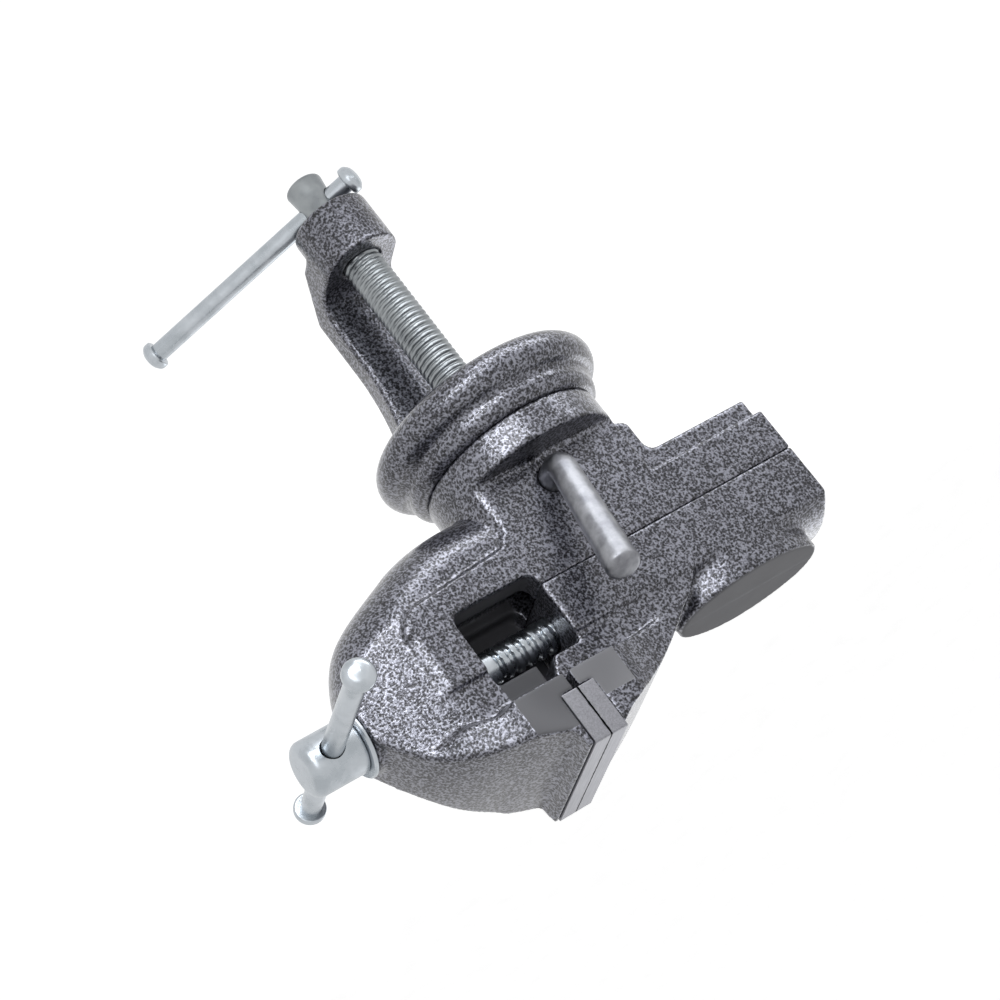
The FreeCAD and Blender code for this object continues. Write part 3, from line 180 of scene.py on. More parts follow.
@dataclass(frozen=True)
class HammertonePaint:
    """Hammered enamel sprayed on cast iron: dark pits in a light silvery network.

    The silicone in the enamel draws it into pits about a millimetre wide, so the eye sees dark
    spots, light ridges between them and small sharp glints where the ridges turn.  Some places
    are smooth and even: lands are ground with a wheel, matt lands are a darker grey, which on
    the body's neck panel under the wing is painted shade, and the hollow deep in the window
    carries a flat colour of painted shade.

    The noise stir bends the rows of pits, grain makes their rims ragged, and cloud changes the
    tone slowly.  Pairs such as metal give the value on the enamel and the one on ground lands,
    matt lands and the painted shade in the window's hollow.
    """

    name: str = "hammered enamel on cast iron"
    cell_mm: float = 1.12
    grain_mm: float = 0.7
    stir_mm: float = 2.2
    stir_reach_mm: float = 1.4
    cell_share: float = 0.42
    cloud_mm: float = 16.0
    cloud_share: float = 0.12
    stops: tuple[float, float, float] = (0.59, 0.77, 0.97)
    tones: tuple[str, str, str] = ("141418", "47474E", "888993")
    ground: tuple[str, str] = ("545457", "5E5E61")
    # greys of the matt lands; on the body's neck panel under the wing they are painted shade
    matt_and_shade_tones: tuple[str, str] = ("3A3A3D", "404043")
    # painted shade: flat colour of the hollow deep in the window
    shade: str = "4C4C50"
    bump_mm: float = 0.08
    metal: tuple[float, float] = (0.65, 0.1)
    roughness: tuple[float, float] = (0.30, 0.72)
    coat: tuple[float, float] = (0.5, 0.0)
    coat_roughness: float = 0.12
    lands: tuple[Limits, ...] = ()
    matt_and_shaded_lands: tuple[Limits, ...] = ()
    shaded_hollows: tuple[Limits, ...] = ()

    def box_mask(self, graph: Graph, boxes: Iterable[Limits], soft_mm: float) -> Any:
        """Mask that is one inside any of the boxes and falls to zero over the soft width.

        Args:
            graph: Graph of the material.
            boxes: Limits in millimetres along |x|, y and z.
            soft_mm: Width of the edge of the mask.

        Returns:
            The mask.
        """
        add = graph.add
        x, y, z = add("SeparateXYZ", inputs={0: graph.place}).outputs
        aside = add("Math", {"operation": "ABSOLUTE"}, {0: x}).outputs[0]
        total: Any = 0.0
        for limits in boxes:
            inside: Any = 1.0
            for value, (low, high) in zip((aside, y, z), limits):
                for edge, half in ((low, soft_mm / 2), (high, -soft_mm / 2)):
                    step = add("MapRange", {"interpolation_type": "SMOOTHSTEP"}, {
                        "Value": value, "From Min": (edge - half) * MM, "From Max": (edge + half) * MM})
                    inside = add("Math", {"operation": "MULTIPLY"}, {
                        0: inside, 1: step.outputs[0]}).outputs[0]
            total = add("Math", {"operation": "MAXIMUM"}, {0: total, 1: inside}).outputs[0]
        return total

    def pits(self, graph: Graph) -> Socket:
        """Level of the enamel: low in round pits, high in the network between them.

        The distance from the nearest point of a random net gives the pits, and noise of about
        the same width makes them irregular.

        Args:
            graph: Graph of the material.

        Returns:
            The level, about 0.35 in a pit and 0.95 on a ridge.
        """
        add = graph.add
        stir = add("TexNoise", inputs={
            "Vector": graph.place, "Scale": 1.0 / (self.stir_mm * MM), "Detail": 1.0})
        warped = add("VectorMath", {"operation": "MULTIPLY_ADD"}, {
            0: stir.outputs["Color"], 1: (self.stir_reach_mm * MM,) * 3, 2: graph.place})
        cells = add("TexVoronoi", {"feature": "F1"}, {
            "Vector": warped.outputs[0], "Scale": 1.0 / (self.cell_mm * MM)})
        grain = add("TexNoise", inputs={
            "Vector": graph.place, "Scale": 1.0 / (self.grain_mm * MM), "Detail": 1.5, "Roughness": 0.5})
        pit = add("MapRange", {"interpolation_type": "SMOOTHSTEP"}, {
            "Value": cells.outputs["Distance"], "From Min": 0.0, "From Max": 0.95})
        return add("Math", {"operation": "MULTIPLY_ADD"}, {
            0: pit.outputs[0], 1: self.cell_share, 2: grain.outputs["Fac"]}).outputs[0]

    def ground_tone(self, graph: Graph) -> Socket:
        """Colour of ground lands: two close greys in wide arcs, as a grinding wheel leaves them.

        Args:
            graph: Graph of the material.

        Returns:
            The colour.
        """
        moved = graph.add("Mapping", inputs={"Vector": graph.place, "Location": (0.0, 0.045, -0.105)})
        arcs = graph.add("TexWave", {"wave_type": "RINGS", "rings_direction": "SPHERICAL"}, {
            "Vector": moved.outputs[0], "Scale": 1.0 / (34.0 * MM), "Distortion": 2.0, "Detail": 2.0,
            "Detail Scale": 0.6})
        return graph.add("ValToRGB", inputs={"Fac": arcs.outputs["Fac"]},
                         stops=list(zip((0.0, 1.0), self.ground))).outputs["Color"]

    def build(self) -> bpy.types.Material:
        """Build the node material.

        Where the paint has no ground lands, matt lands or painted shade in a hollow, its share of
        metal, its roughness and its coat are the same all over and stand on the shader's own sockets.

        Returns:
            The material.
        """
        graph = Graph(self.name)
        add = graph.add
        height = self.pits(graph)
        cloud = add("TexNoise", inputs={
            "Vector": graph.place, "Scale": 1.0 / (self.cloud_mm * MM), "Detail": 2.0}).outputs["Fac"]
        level = add("Math", {"operation": "MULTIPLY_ADD"}, {0: cloud, 1: self.cloud_share, 2: height})
        colour = add("ValToRGB", inputs={"Fac": level.outputs[0]},
                     stops=list(zip(self.stops, self.tones))).outputs["Color"]
        bare_and_shaded: Any = None
        for boxes, soft_mm, tone in (
                (self.lands, 0.25, lambda: self.ground_tone(graph)),
                # matt lands: darker grey, painted shade on the body's neck panel
                (self.matt_and_shaded_lands, 0.4, lambda: add("ValToRGB", inputs={"Fac": cloud}, stops=list(
                    zip((0.35, 0.65), self.matt_and_shade_tones))).outputs["Color"]),
                # the window's hollow: flat colour of painted shade
                (self.shaded_hollows, 3.0, lambda: linear(self.shade))):
            if boxes:
                mask = self.box_mask(graph, boxes, soft_mm)
                colour = add("Mix", {"data_type": "RGBA"}, {0: mask, 6: colour, 7: tone()}).outputs[2]
                bare_and_shaded = mask if bare_and_shaded is None else add(
                    "Math", {"operation": "MAXIMUM"}, {0: bare_and_shaded, 1: mask}).outputs[0]
        shares = {"Metallic": self.metal, "Roughness": self.roughness, "Coat Weight": self.coat}
        if bare_and_shaded is None:
            graph.feed({name: enamel for name, (enamel, _) in shares.items()})
        else:
            painted = add("Math", {"operation": "SUBTRACT"}, {0: 1.0, 1: bare_and_shaded}).outputs[0]
            height = add("Math", {"operation": "MULTIPLY"}, {0: height, 1: painted}).outputs[0]
            for name, (enamel, plain) in shares.items():
                share = add("MapRange", inputs={"Value": painted, "To Min": plain, "To Max": enamel})
                graph.feed({name: share.outputs[0]})
        normal = add("Bump", inputs={
            "Height": height, "Distance": self.bump_mm * MM, "Strength": 1.0}).outputs["Normal"]
        return graph.feed({"Base Color": colour, "Normal": normal, "Coat Normal": normal,
                           "Coat Roughness": self.coat_roughness})


@dataclass(frozen=True)
class ZincPlate:
    """Bright zinc electroplated on turned steel: pale, slightly cloudy metal with soft reflections."""

    name: str = "bright zinc plate on turned steel"
    tones: tuple[str, str] = ("A4AAAF", "B9BEC3")
    roughness: float = 0.27
    cloud_mm: float = 7.0
    grain_mm: float = 0.9
    bump_mm: float = 0.02

    def build(self) -> bpy.types.Material:
        """Build the node material.

        Returns:
            The material.
        """
        graph = Graph(self.name)
        add = graph.add
        cloud, grain = (add("TexNoise", inputs={
            "Vector": graph.place, "Scale": 1.0 / (width * MM), "Detail": detail}).outputs["Fac"]
            for width, detail in ((self.cloud_mm, 4.0), (self.grain_mm, 2.0)))
        tone = add("ValToRGB", inputs={"Fac": cloud}, stops=list(zip((0.35, 0.65), self.tones)))
        rough = add("MapRange", inputs={
            "Value": cloud, "From Min": 0.3, "From Max": 0.7,
            "To Min": self.roughness - 0.05, "To Max": self.roughness + 0.08})
        bump = add("Bump", inputs={"Height": grain, "Distance": self.bump_mm * MM, "Strength": 0.6})
        return graph.feed({"Base Color": tone.outputs["Color"], "Roughness": rough.outputs[0],
                           "Normal": bump.outputs["Normal"], "Metallic": 1.0})


@dataclass(frozen=True)
class MachinedSteel:
    """Milled and ground steel: even grey with faint parallel tool marks along X.

    The tool marks are drawn half a millimetre apart, coarser than ground ones are.  A seam, if
    there is one, is the half length, the plane and the top of the line in which closed jaws meet,
    in millimetres along |x|, y and z, and a dark band of painted shade lies along it.
    """

    name: str = "milled and ground steel"
    tones: tuple[str, str] = ("78787D", "8E8E93")
    mark_mm: float = 0.5
    mark_depth_mm: float = 0.02
    roughness: float = 0.42
    # painted shade: the dark band along the seam between the plates
    seam_shade: str = "29292C"
    seam_shade_mm: float = 0.9
    seam: tuple[float, float, float] | None = None

    def seam_shade_mask(self, graph: Graph, seam: tuple[float, float, float]) -> Socket:
        """Mask of the painted shade in the seam, about half a millimetre to each side.

        It is one where the distance from the plane of the seam is less than a width that wanders
        with noise, and only near the end and the top of the plates, so that the gripping faces
        stay free of the shade.

        Args:
            graph: Graph of the material.
            seam: Half length, plane and top of the seam.

        Returns:
            The mask.
        """
        end, plane, top = seam
        add = graph.add
        x, y, z = add("SeparateXYZ", inputs={0: graph.place}).outputs
        wander = add("TexNoise", inputs={"Vector": graph.place, "Scale": 1.0 / (1.8 * MM)})
        beside = add("Math", {"operation": "SUBTRACT"}, {0: y, 1: plane * MM})
        apart, aside = (add("Math", {"operation": "ABSOLUTE"}, {0: value}).outputs[0]
                        for value in (beside.outputs[0], x))
        spare = add("Math", {"operation": "MULTIPLY_ADD"}, {
            0: wander.outputs["Fac"], 1: -self.seam_shade_mm * MM, 2: apart})
        near = add("MapRange", {"interpolation_type": "SMOOTHSTEP"}, {
            "Value": spare.outputs[0], "From Min": -0.25 * MM, "From Max": 0.05 * MM,
            "To Min": 1.0, "To Max": 0.0})
        rims = [add("MapRange", {"interpolation_type": "SMOOTHSTEP"}, {
            "Value": value, "From Min": (rim - 0.8) * MM, "From Max": (rim - 0.5) * MM}).outputs[0]
            for value, rim in ((aside, end), (z, top))]
        outer = add("Math", {"operation": "MAXIMUM"}, dict(enumerate(rims)))
        return add("Math", {"operation": "MULTIPLY"}, {
            0: near.outputs[0], 1: outer.outputs[0]}).outputs[0]

    def build(self) -> bpy.types.Material:
        """Build the node material.

        Returns:
            The material.
        """
        graph = Graph(self.name)
        add = graph.add
        drawn = add("Mapping", inputs={"Vector": graph.place, "Scale": (0.04, 1.0, 1.0)})
        marks = add("TexNoise", inputs={
            "Vector": drawn.outputs[0], "Scale": 1.0 / (self.mark_mm * MM), "Detail": 3.0}).outputs["Fac"]
        colour = add("ValToRGB", inputs={"Fac": marks},
                     stops=list(zip((0.3, 0.7), self.tones))).outputs["Color"]
        if self.seam is not None:
            # painted shade along the seam where the closed jaws meet
            colour = add("Mix", {"data_type": "RGBA"}, {
                0: self.seam_shade_mask(graph, self.seam), 6: colour, 7: linear(self.seam_shade)}).outputs[2]
        bump = add("Bump", inputs={"Height": marks, "Distance": self.mark_depth_mm * MM, "Strength": 0.5})
        return graph.feed({"Base Color": colour, "Normal": bump.outputs["Normal"],
                           "Metallic": 0.9, "Roughness": self.roughness})


# ---------------------------------------------------------------- surfaces


@dataclass
class Surface:
    """A closed mesh worked out on a grid, in millimetres."""

    points: np.ndarray
    faces: list[tuple[int, ...]]

    @classmethod
    def from_rings(cls, rings: np.ndarray) -> "Surface":
        """Skin over a row of closed rings, with a point at the middle of both ends.

        Args:
            rings: Points of shape (rings, points round each ring, 3).

        Returns:
            The closed surface.
        """
        rows, columns = rings.shape[:2]
        number = np.arange(rows * columns).reshape(rows, columns)
        following = np.roll(number, -1, axis=1)
        sides = np.stack([number[:-1], following[:-1], following[1:], number[1:]], axis=-1).reshape(-1, 4)
        ends = np.vstack([rings[0].mean(axis=0), rings[-1].mean(axis=0)])
        first, last = rows * columns, rows * columns + 1
        low = np.stack([following[0], number[0], np.full(columns, first)], axis=-1)
        high = np.stack([number[-1], following[-1], np.full(columns, last)], axis=-1)
        faces = [tuple(f) for f in sides.tolist()] + [tuple(f) for f in np.vstack([low, high]).tolist()]
        return cls(np.vstack([rings.reshape(-1, 3), ends]), faces)

    @classmethod
    def from_loop(cls, rings: np.ndarray) -> "Surface":
        """Skin over a closed row of closed rings, such as a washer.

        Args:
            rings: Points of shape (rings, points round each ring, 3).

        Returns:
            The closed surface.
        """
        rows, columns = rings.shape[:2]
        number = np.arange(rows * columns).reshape(rows, columns)
        right, down = np.roll(number, -1, axis=1), np.roll(number, -1, axis=0)
        corner = np.roll(right, -1, axis=0)
        faces = np.stack([number, right, corner, down], axis=-1).reshape(-1, 4)
        return cls(rings.reshape(-1, 3), [tuple(f) for f in faces.tolist()])

    def moved(self, matrix: np.ndarray, offset: Sequence[float]) -> "Surface":
        """The surface after a turn and a shift.

        Args:
            matrix: Turn as a 3 by 3 matrix.
            offset: Shift in millimetres.

        Returns:
            The moved surface.
        """
        return Surface(self.points @ np.asarray(matrix).T + np.asarray(offset, float), self.faces)

    def to_object(self, name: str) -> bpy.types.Object:
        """Put the surface into a mesh object at the origin, with its faces pointing outwards.

        Args:
            name: Name of the object.

        Returns:
            The new object.
        """
        mesh = bpy.data.meshes.new(name)
        mesh.from_pydata((self.points * MM).tolist(), [], self.faces)
        mesh.validate()
        item = bpy.data.objects.new(name, mesh)
        bpy.context.scene.collection.objects.link(item)
        face_outwards(mesh)
        return item


def shade(mesh: bpy.types.Mesh, degrees: float = SMOOTH_UP_TO) -> None:
    """Shade a mesh smooth, but for its sharp edges.

    Args:
        mesh: The mesh to shade.
        degrees: Angle from which an edge is sharp.
    """
    mesh.shade_smooth()
    mesh.set_sharp_from_angle(angle=math.radians(degrees))


def face_outwards(mesh: bpy.types.Mesh) -> None:
    """Make every face of a closed mesh point outwards, and shade it.

    Args:
        mesh: The mesh to treat.
    """
    work = bmesh.new()
    work.from_mesh(mesh)
    bmesh.ops.recalc_face_normals(work, faces=work.faces)
    work.to_mesh(mesh)
    work.free()
    shade(mesh)


def rounded(corners: Sequence[tuple[float, ...]], steps: int = 6) -> np.ndarray:
    """Open profile with its corners rounded.

    Each corner is (along, out) or (along, out, radius).  A rounding runs along the circle that
    touches both neighbouring lines, sampled at even angles.

    Args:
        corners: The corners in order.
        steps: Number of pieces in each rounding.

    Returns:
        Points of shape (n, 2).
    """
    points: list[np.ndarray] = []
    for i, corner in enumerate(corners):
        here = np.array(corner[:2], float)
        if len(corner) < 3 or i in (0, len(corners) - 1):
            points.append(here)
            continue
        back = np.array(corners[i - 1][:2], float) - here
        ahead = np.array(corners[i + 1][:2], float) - here
        back, ahead = back / np.linalg.norm(back), ahead / np.linalg.norm(ahead)
        half = math.acos(float(np.clip(back @ ahead, -1.0, 1.0))) / 2.0
        middle = here + (back + ahead) / np.linalg.norm(back + ahead) * corner[2] / math.sin(half)
        start = here + back * corner[2] / math.tan(half) - middle
        end = here + ahead * corner[2] / math.tan(half) - middle
        share = np.linspace(0.0, 1.0, steps + 1)[:, None]
        sweep = math.pi - 2.0 * half
        bow = (np.sin((1 - share) * sweep) * start + np.sin(share * sweep) * end) / math.sin(sweep)
        points.extend(middle + bow)
    return np.array(points)


def turned(profile: np.ndarray, axis: Axis, columns: int = 64,
           ripple: Callable[[np.ndarray, np.ndarray], np.ndarray] | None = None) -> np.ndarray:
    """Rings of a surface of revolution.

    A profile point (along, out) becomes the circle of radius out round the axis at along.  A
    ripple adds a depth that depends on the place along the axis and on the angle.

    Args:
        profile: Points of shape (n, 2).
        axis: Axis of the turning.
        columns: Number of points round each ring.
        ripple: Extra radius as a function of place and angle.

    Returns:
        Rings of shape (n, columns, 3).
    """
    angle = np.linspace(0.0, TURN, columns, endpoint=False)[None, :]
    along = np.repeat(profile[:, :1], columns, axis=1)
    out = np.repeat(profile[:, 1:2], columns, axis=1)
    if ripple is not None:
        out = out + ripple(along, np.repeat(angle, len(profile), axis=0))
    first, second = out * np.cos(angle), out * np.sin(angle)
    order = {Axis.X: (along, first, second), Axis.Y: (second, along, first), Axis.Z: (first, second, along)}
    return np.stack(order[axis], axis=-1)


def thread_ripple(start: float, end: float, pitch: float, depth: float, fade: float,
                  sharpness: float = 2.4) -> Callable[[np.ndarray, np.ndarray], np.ndarray]:
    """Depth of a right-hand trapezoidal thread.

    The depth follows a cosine of the helix phase, steepened and clipped so that crest and root
    are flat, and fades in and out at both ends of the thread.

    Args:
        start: Lowest place of the thread along the axis.
        end: Highest place of the thread along the axis.
        pitch: Distance between two crests.
        depth: Depth of the thread.
        fade: Length of the run-out at either end.
        sharpness: How steep the flanks are.

    Returns:
        The ripple as a function of place and angle.
    """
    def ripple(along: np.ndarray, angle: np.ndarray) -> np.ndarray:
        """Depth at each place and angle."""
        wave = np.cos(TURN * along / pitch - angle)
        groove = 0.5 - 0.5 * np.clip(sharpness * wave + 0.5, -1.0, 1.0)
        share = np.clip((along - start) / fade, 0.0, 1.0) * np.clip((end - along) / fade, 0.0, 1.0)
        return -depth * groove * share
    return ripple


def even_rows(profile: np.ndarray, low: float, high: float, step: float) -> np.ndarray:
    """Add rows to the straight stretch of a profile between two places.

    Args:
        profile: Points of shape (n, 2), rising along the axis.
        low: Start of the stretch.
        high: End of the stretch.
        step: Distance between two rows.

    Returns:
        The profile with the added points.
    """
    extra = np.arange(low, high, step)
    radius = np.interp(extra, profile[:, 0], profile[:, 1])
    both = np.vstack([profile, np.stack([extra, radius], axis=-1)])
    return both[np.argsort(both[:, 0], kind="stable")]


def turn_about(axis: Axis, degrees: float) -> np.ndarray:
    """Matrix of a turn about one axis, counter-clockwise seen from its tip.

    Args:
        axis: The axis.
        degrees: The angle.

    Returns:
        A matrix of shape (3, 3).
    """
    c, s = math.cos(math.radians(degrees)), math.sin(math.radians(degrees))
    rows = {Axis.X: [[1.0, 0.0, 0.0], [0.0, c, -s], [0.0, s, c]],
            Axis.Y: [[c, 0.0, s], [0.0, 1.0, 0.0], [-s, 0.0, c]],
            Axis.Z: [[c, -s, 0.0], [s, c, 0.0], [0.0, 0.0, 1.0]]}
    return np.array(rows[axis])


def swept(path: np.ndarray, radius: np.ndarray, side: Sequence[float], columns: int = 48) -> np.ndarray:
    """Rings of a round rod whose radius changes along its path.

    Each ring stands square to the path; its first direction is the given side, which is square
    to the whole path, and its second is the path's direction crossed with it.

    Args:
        path: Points of shape (n, 3).
        radius: Radius at each point.
        side: Direction square to the plane of the path.
        columns: Number of points round each ring.

    Returns:
        Rings of shape (n, columns, 3).
    """
    ahead = np.gradient(path, axis=0)
    ahead /= np.linalg.norm(ahead, axis=1, keepdims=True)
    one = np.repeat(np.asarray(side, float)[None, :], len(path), axis=0)
    two = np.cross(ahead, one)
    angle = np.linspace(0.0, TURN, columns, endpoint=False)
    ring = one[:, None, :] * np.cos(angle)[None, :, None] + two[:, None, :] * np.sin(angle)[None, :, None]
    return path[:, None, :] + ring * radius[:, None, None]


def finish_mesh(item: bpy.types.Object) -> None:
    """Apply an object's modifiers to its mesh.

    Args:
        item: The object with its modifiers.
    """
    graph = bpy.context.evaluated_depsgraph_get()
    mesh = bpy.data.meshes.new_from_object(item.evaluated_get(graph))
    item.modifiers.clear()
    item.data = mesh


def drill(item: bpy.types.Object, cutter: bpy.types.Object) -> None:
    """Cut one closed mesh out of another.

    Args:
        item: The object to cut.
        cutter: The closed shape that is taken away; it is deleted afterwards.
    """
    cut = item.modifiers.new("drill", "BOOLEAN")
    cut.operation, cut.object, cut.solver = "DIFFERENCE", cutter, "EXACT"
    bpy.context.view_layer.update()
    finish_mesh(item)
    bpy.data.objects.remove(cutter)
    shade(item.data)


def place(item: bpy.types.Object, finish: bpy.types.Material, body: str, node: str) -> None:
    """Dress a piece and hang it on its body.

    Args:
        item: The piece.
        finish: Its material.
        body: The body it rides on.
        node: CAD node that it stands for.
    """
    item.data.materials.clear()
    item.data.materials.append(finish)
    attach(item, body)
    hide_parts(node)
    LOG.info("%s rides on %s, %d faces", item.name, body, len(item.data.polygons))


def merged_copy(node: str, name: str) -> bpy.types.Object:
    """Copy a CAD node with its doubled points merged.

    Args:
        node: Name of the node.
        name: Name of the copy.

    Returns:
        The copy.
    """
    mesh = frame["nodes"][node].data.copy()
    mesh.name = name
    work = bmesh.new()
    work.from_mesh(mesh)
    bmesh.ops.remove_doubles(work, verts=work.verts, dist=SAME_POINT)
    work.to_mesh(mesh)
    work.free()
    item = bpy.data.objects.new(name, mesh)
    bpy.context.scene.collection.objects.link(item)
    return item


# ---------------------------------------------------------------- castings


@dataclass
class Casting:
    """An iron casting with the soft edges that sand and thick enamel leave."""

    node: str
    name: str
    body: str
    grain_mm: float = 0.8
    passes: int = 3

    def build(self) -> bpy.types.Object:
        """Skin the node's solid with an even grid and relax it, so that every edge is rounded.

        Returns:
            The skinned copy.
        """
        item = merged_copy(self.node, self.name)
        grid = item.modifiers.new("skin", "REMESH")
        grid.mode, grid.voxel_size, grid.use_smooth_shade = "VOXEL", self.grain_mm * MM, True
        relax = item.modifiers.new("relax", "SMOOTH")
        relax.factor, relax.iterations = 0.5, self.passes
        finish_mesh(item)
        item.data.shade_smooth()
        return item

    def dress(self, finish: bpy.types.Material) -> None:
        """Build the casting and hang it on its body.

        Args:
            finish: Its paint.
        """
        place(self.build(), finish, self.body, self.node)


@dataclass
class JawPlate:
    """A ground steel plate with its arrises taken off."""

    node: str
    name: str
    body: str
    bevel_mm: float = 0.6
    gap_mm: float = 0.1
    sharp_from: float = 32.0

    def dress(self, finish: bpy.types.Material) -> None:
        """Build the plate and hang it on its body.

        The gripping face stands back from the plane of the seam by a small gap, because ground
        plates never meet all over, and the outer edges lose their arrises.

        Args:
            finish: Its steel.
        """
        item = merged_copy(self.node, self.name)
        at = np.array([point.co[:] for point in item.data.vertices])
        inwards = math.copysign(self.gap_mm * MM, float(at[:, 1].mean()) - JAW_LINE * MM)
        at[np.isclose(at[:, 1], JAW_LINE * MM, atol=SAME_POINT), 1] += inwards
        item.data.vertices.foreach_set("co", at.ravel())
        low = np.isclose(at, at.min(axis=0), atol=SAME_POINT)
        high = np.isclose(at, at.max(axis=0), atol=SAME_POINT)
        weights = item.data.attributes.new("bevel_weight_edge", "FLOAT", "EDGE")
        for edge, weight in zip(item.data.edges, weights.data):
            one, two = edge.vertices
            weight.value = float(((low[one] & low[two]) | (high[one] & high[two])).sum() >= 2)
        arris = item.modifiers.new("arris", "BEVEL")
        arris.width, arris.segments, arris.limit_method = self.bevel_mm * MM, 2, "WEIGHT"
        finish_mesh(item)
        shade(item.data, self.sharp_from)
        even = item.modifiers.new("even", "WEIGHTED_NORMAL")
        even.weight, even.keep_sharp = 100, True
        finish_mesh(item)
        place(item, finish, self.body, self.node)


# ---------------------------------------------------------------- screws and handles


@dataclass
class SlidingHandle:
    """A round bar that slides through a screw head, with a domed cap on each end."""

    label: str
    body: str
    nodes: tuple[str, str, str]
    diameter: float
    length: float
    middle: tuple[float, float, float]
    turn: np.ndarray
    overhang: float = 1.9
    cap: float = 5.0
    seat: float = 2.6
    step: float = 1.2

    def bar(self) -> Surface:
        """Bar with turned-down ends.

        Returns:
            The surface of the bar, along X round its middle.
        """
        half, radius = self.length / 2, self.diameter / 2
        end = [(half - self.seat, radius), (half - self.seat, radius - self.step),
               (half, radius - self.step), (half, CORE)]
        profile = rounded([(-along, out) for along, out in reversed(end)] + end)
        return Surface.from_rings(turned(profile, Axis.X, 40))

    def end_cap(self, side: float) -> Surface:
        """Domed cap: a short cylinder whose outer side is rounded into a shallow dome.

        Args:
            side: -1 or +1, the end of the bar it sits on.

        Returns:
            The surface of the cap.
        """
        base, rim = self.length / 2 - self.seat, self.diameter / 2 + self.overhang
        hole = self.diameter / 2 - self.step
        profile = rounded([
            (base + self.seat, CORE), (base + self.seat, hole), (base, hole), (base, rim, 0.8),
            (base + self.cap * 0.55, rim, 1.9), (base + self.cap * 0.9, rim * 0.62, 3.5),
            (base + self.cap, CORE)], 8)
        rings = turned(profile, Axis.X, 48)
        return Surface.from_rings(rings * np.array([side, 1.0, 1.0]))

    def dress(self, finish: bpy.types.Material) -> None:
        """Build bar and caps and hang them on their body.

        Args:
            finish: Their plating.
        """
        parts = (("rod", self.bar()), ("cap_a", self.end_cap(-1.0)), ("cap_b", self.end_cap(1.0)))
        for (word, surface), node in zip(parts, self.nodes):
            item = surface.moved(self.turn, self.middle).to_object(f"{self.label}_{word}")
            place(item, finish, self.body, node)


def bar_hole(radius: float, reach: float, middle: Sequence[float], turn: np.ndarray) -> bpy.types.Object:
    """Round cutter for the cross hole of a screw head, flared a little at both mouths.

    Args:
        radius: Radius of the hole.
        reach: Radius of the head.
        middle: Middle of the hole.
        turn: Matrix that brings X to the direction of the hole.

    Returns:
        The cutter.
    """
    far, lip, flare, tip = reach + 4.0, reach - 0.6, radius + 4.6, 0.01
    profile = np.array([(-far, tip), (-far, flare), (-lip, radius), (lip, radius), (far, flare), (far, tip)])
    return Surface.from_rings(turned(profile, Axis.X, 48)).moved(turn, middle).to_object("cutter")


@dataclass
class MainScrew:
    """Screw that drives the moving jaw, with its head, washer and retaining ring."""

    height: float = 85.5
    radius: float = 6.25
    pitch: float = 4.5
    depth: float = 1.0
    front: float = -107.5
    washer: float = 1.8
    head: float = 20.0
    head_radius: float = 10.0
    end: float = 50.0
    thread_start: float = -55.5
    ring_start: float = -63.3
    ring: float = 1.6
    ring_radius: float = 9.2
    washer_radius: float = 12.5
    hole_radius: float = 4.0
    turn: float = 2.2

    def middle(self) -> tuple[float, float, float]:
        """Middle of the cross hole.

        Returns:
            The place in millimetres.
        """
        return (0.0, self.front - self.washer - self.head / 2, self.height)

    def shank(self) -> Surface:
        """Head, plain neck and thread in one turned surface.

        Returns:
            The surface, along Y round the axis of the screw.
        """
        face = self.front - self.washer
        profile = rounded([
            (face - self.head, CORE), (face - self.head, self.head_radius, 3.4),
            (face, self.head_radius, 0.7), (face, self.radius), (self.thread_start, self.radius),
            (self.end, self.radius, 1.3), (self.end, CORE)], 8)
        profile = even_rows(profile, self.thread_start, self.end - 1.5, self.pitch / 14)
        ripple = thread_ripple(self.thread_start, self.end, self.pitch, self.depth, self.pitch * 0.6)
        return Surface.from_rings(turned(profile, Axis.Y, 72, ripple))

    def flat_ring(self, start: float, thickness: float, outer: float, inner: float) -> Surface:
        """Ring with rounded rims.

        Args:
            start: Side of the ring that faces the head.
            thickness: Thickness of the ring.
            outer: Outer radius.
            inner: Inner radius.

        Returns:
            The surface of the ring.
        """
        bevel = thickness * 0.3
        section = np.array([(start, inner), (start, outer - bevel), (start + bevel, outer),
                            (start + thickness - bevel, outer), (start + thickness, outer - bevel),
                            (start + thickness, inner)])
        return Surface.from_loop(turned(section, Axis.Y, 72))

    def lifted(self, surface: Surface, name: str) -> bpy.types.Object:
        """Bring a surface up to the axis of the screw.

        Args:
            surface: Surface round the Y axis.
            name: Name of the piece.

        Returns:
            The piece.
        """
        return surface.moved(np.eye(3), (0.0, 0.0, self.height)).to_object(name)

    def dress(self, finish: bpy.types.Material) -> None:
        """Build the pieces of the screw and hang them on their body.

        Args:
            finish: Their plating.
        """
        screw = self.lifted(self.shank(), "screw_spindle")
        drill(screw, bar_hole(self.hole_radius, self.head_radius, self.middle(),
                              turn_about(Axis.Y, self.turn)))
        washer = self.flat_ring(self.front - self.washer, self.washer, self.washer_radius, self.radius + 0.1)
        ring = self.flat_ring(self.ring_start, self.ring, self.ring_radius, self.radius - 0.9)
        for item, node in ((screw, "main_screw"),
                           (self.lifted(washer, "thrust_washer"), "main_screw_washer"),
                           (self.lifted(ring, "retaining_ring"), "main_screw_ring")):
            place(item, finish, "screw", node)


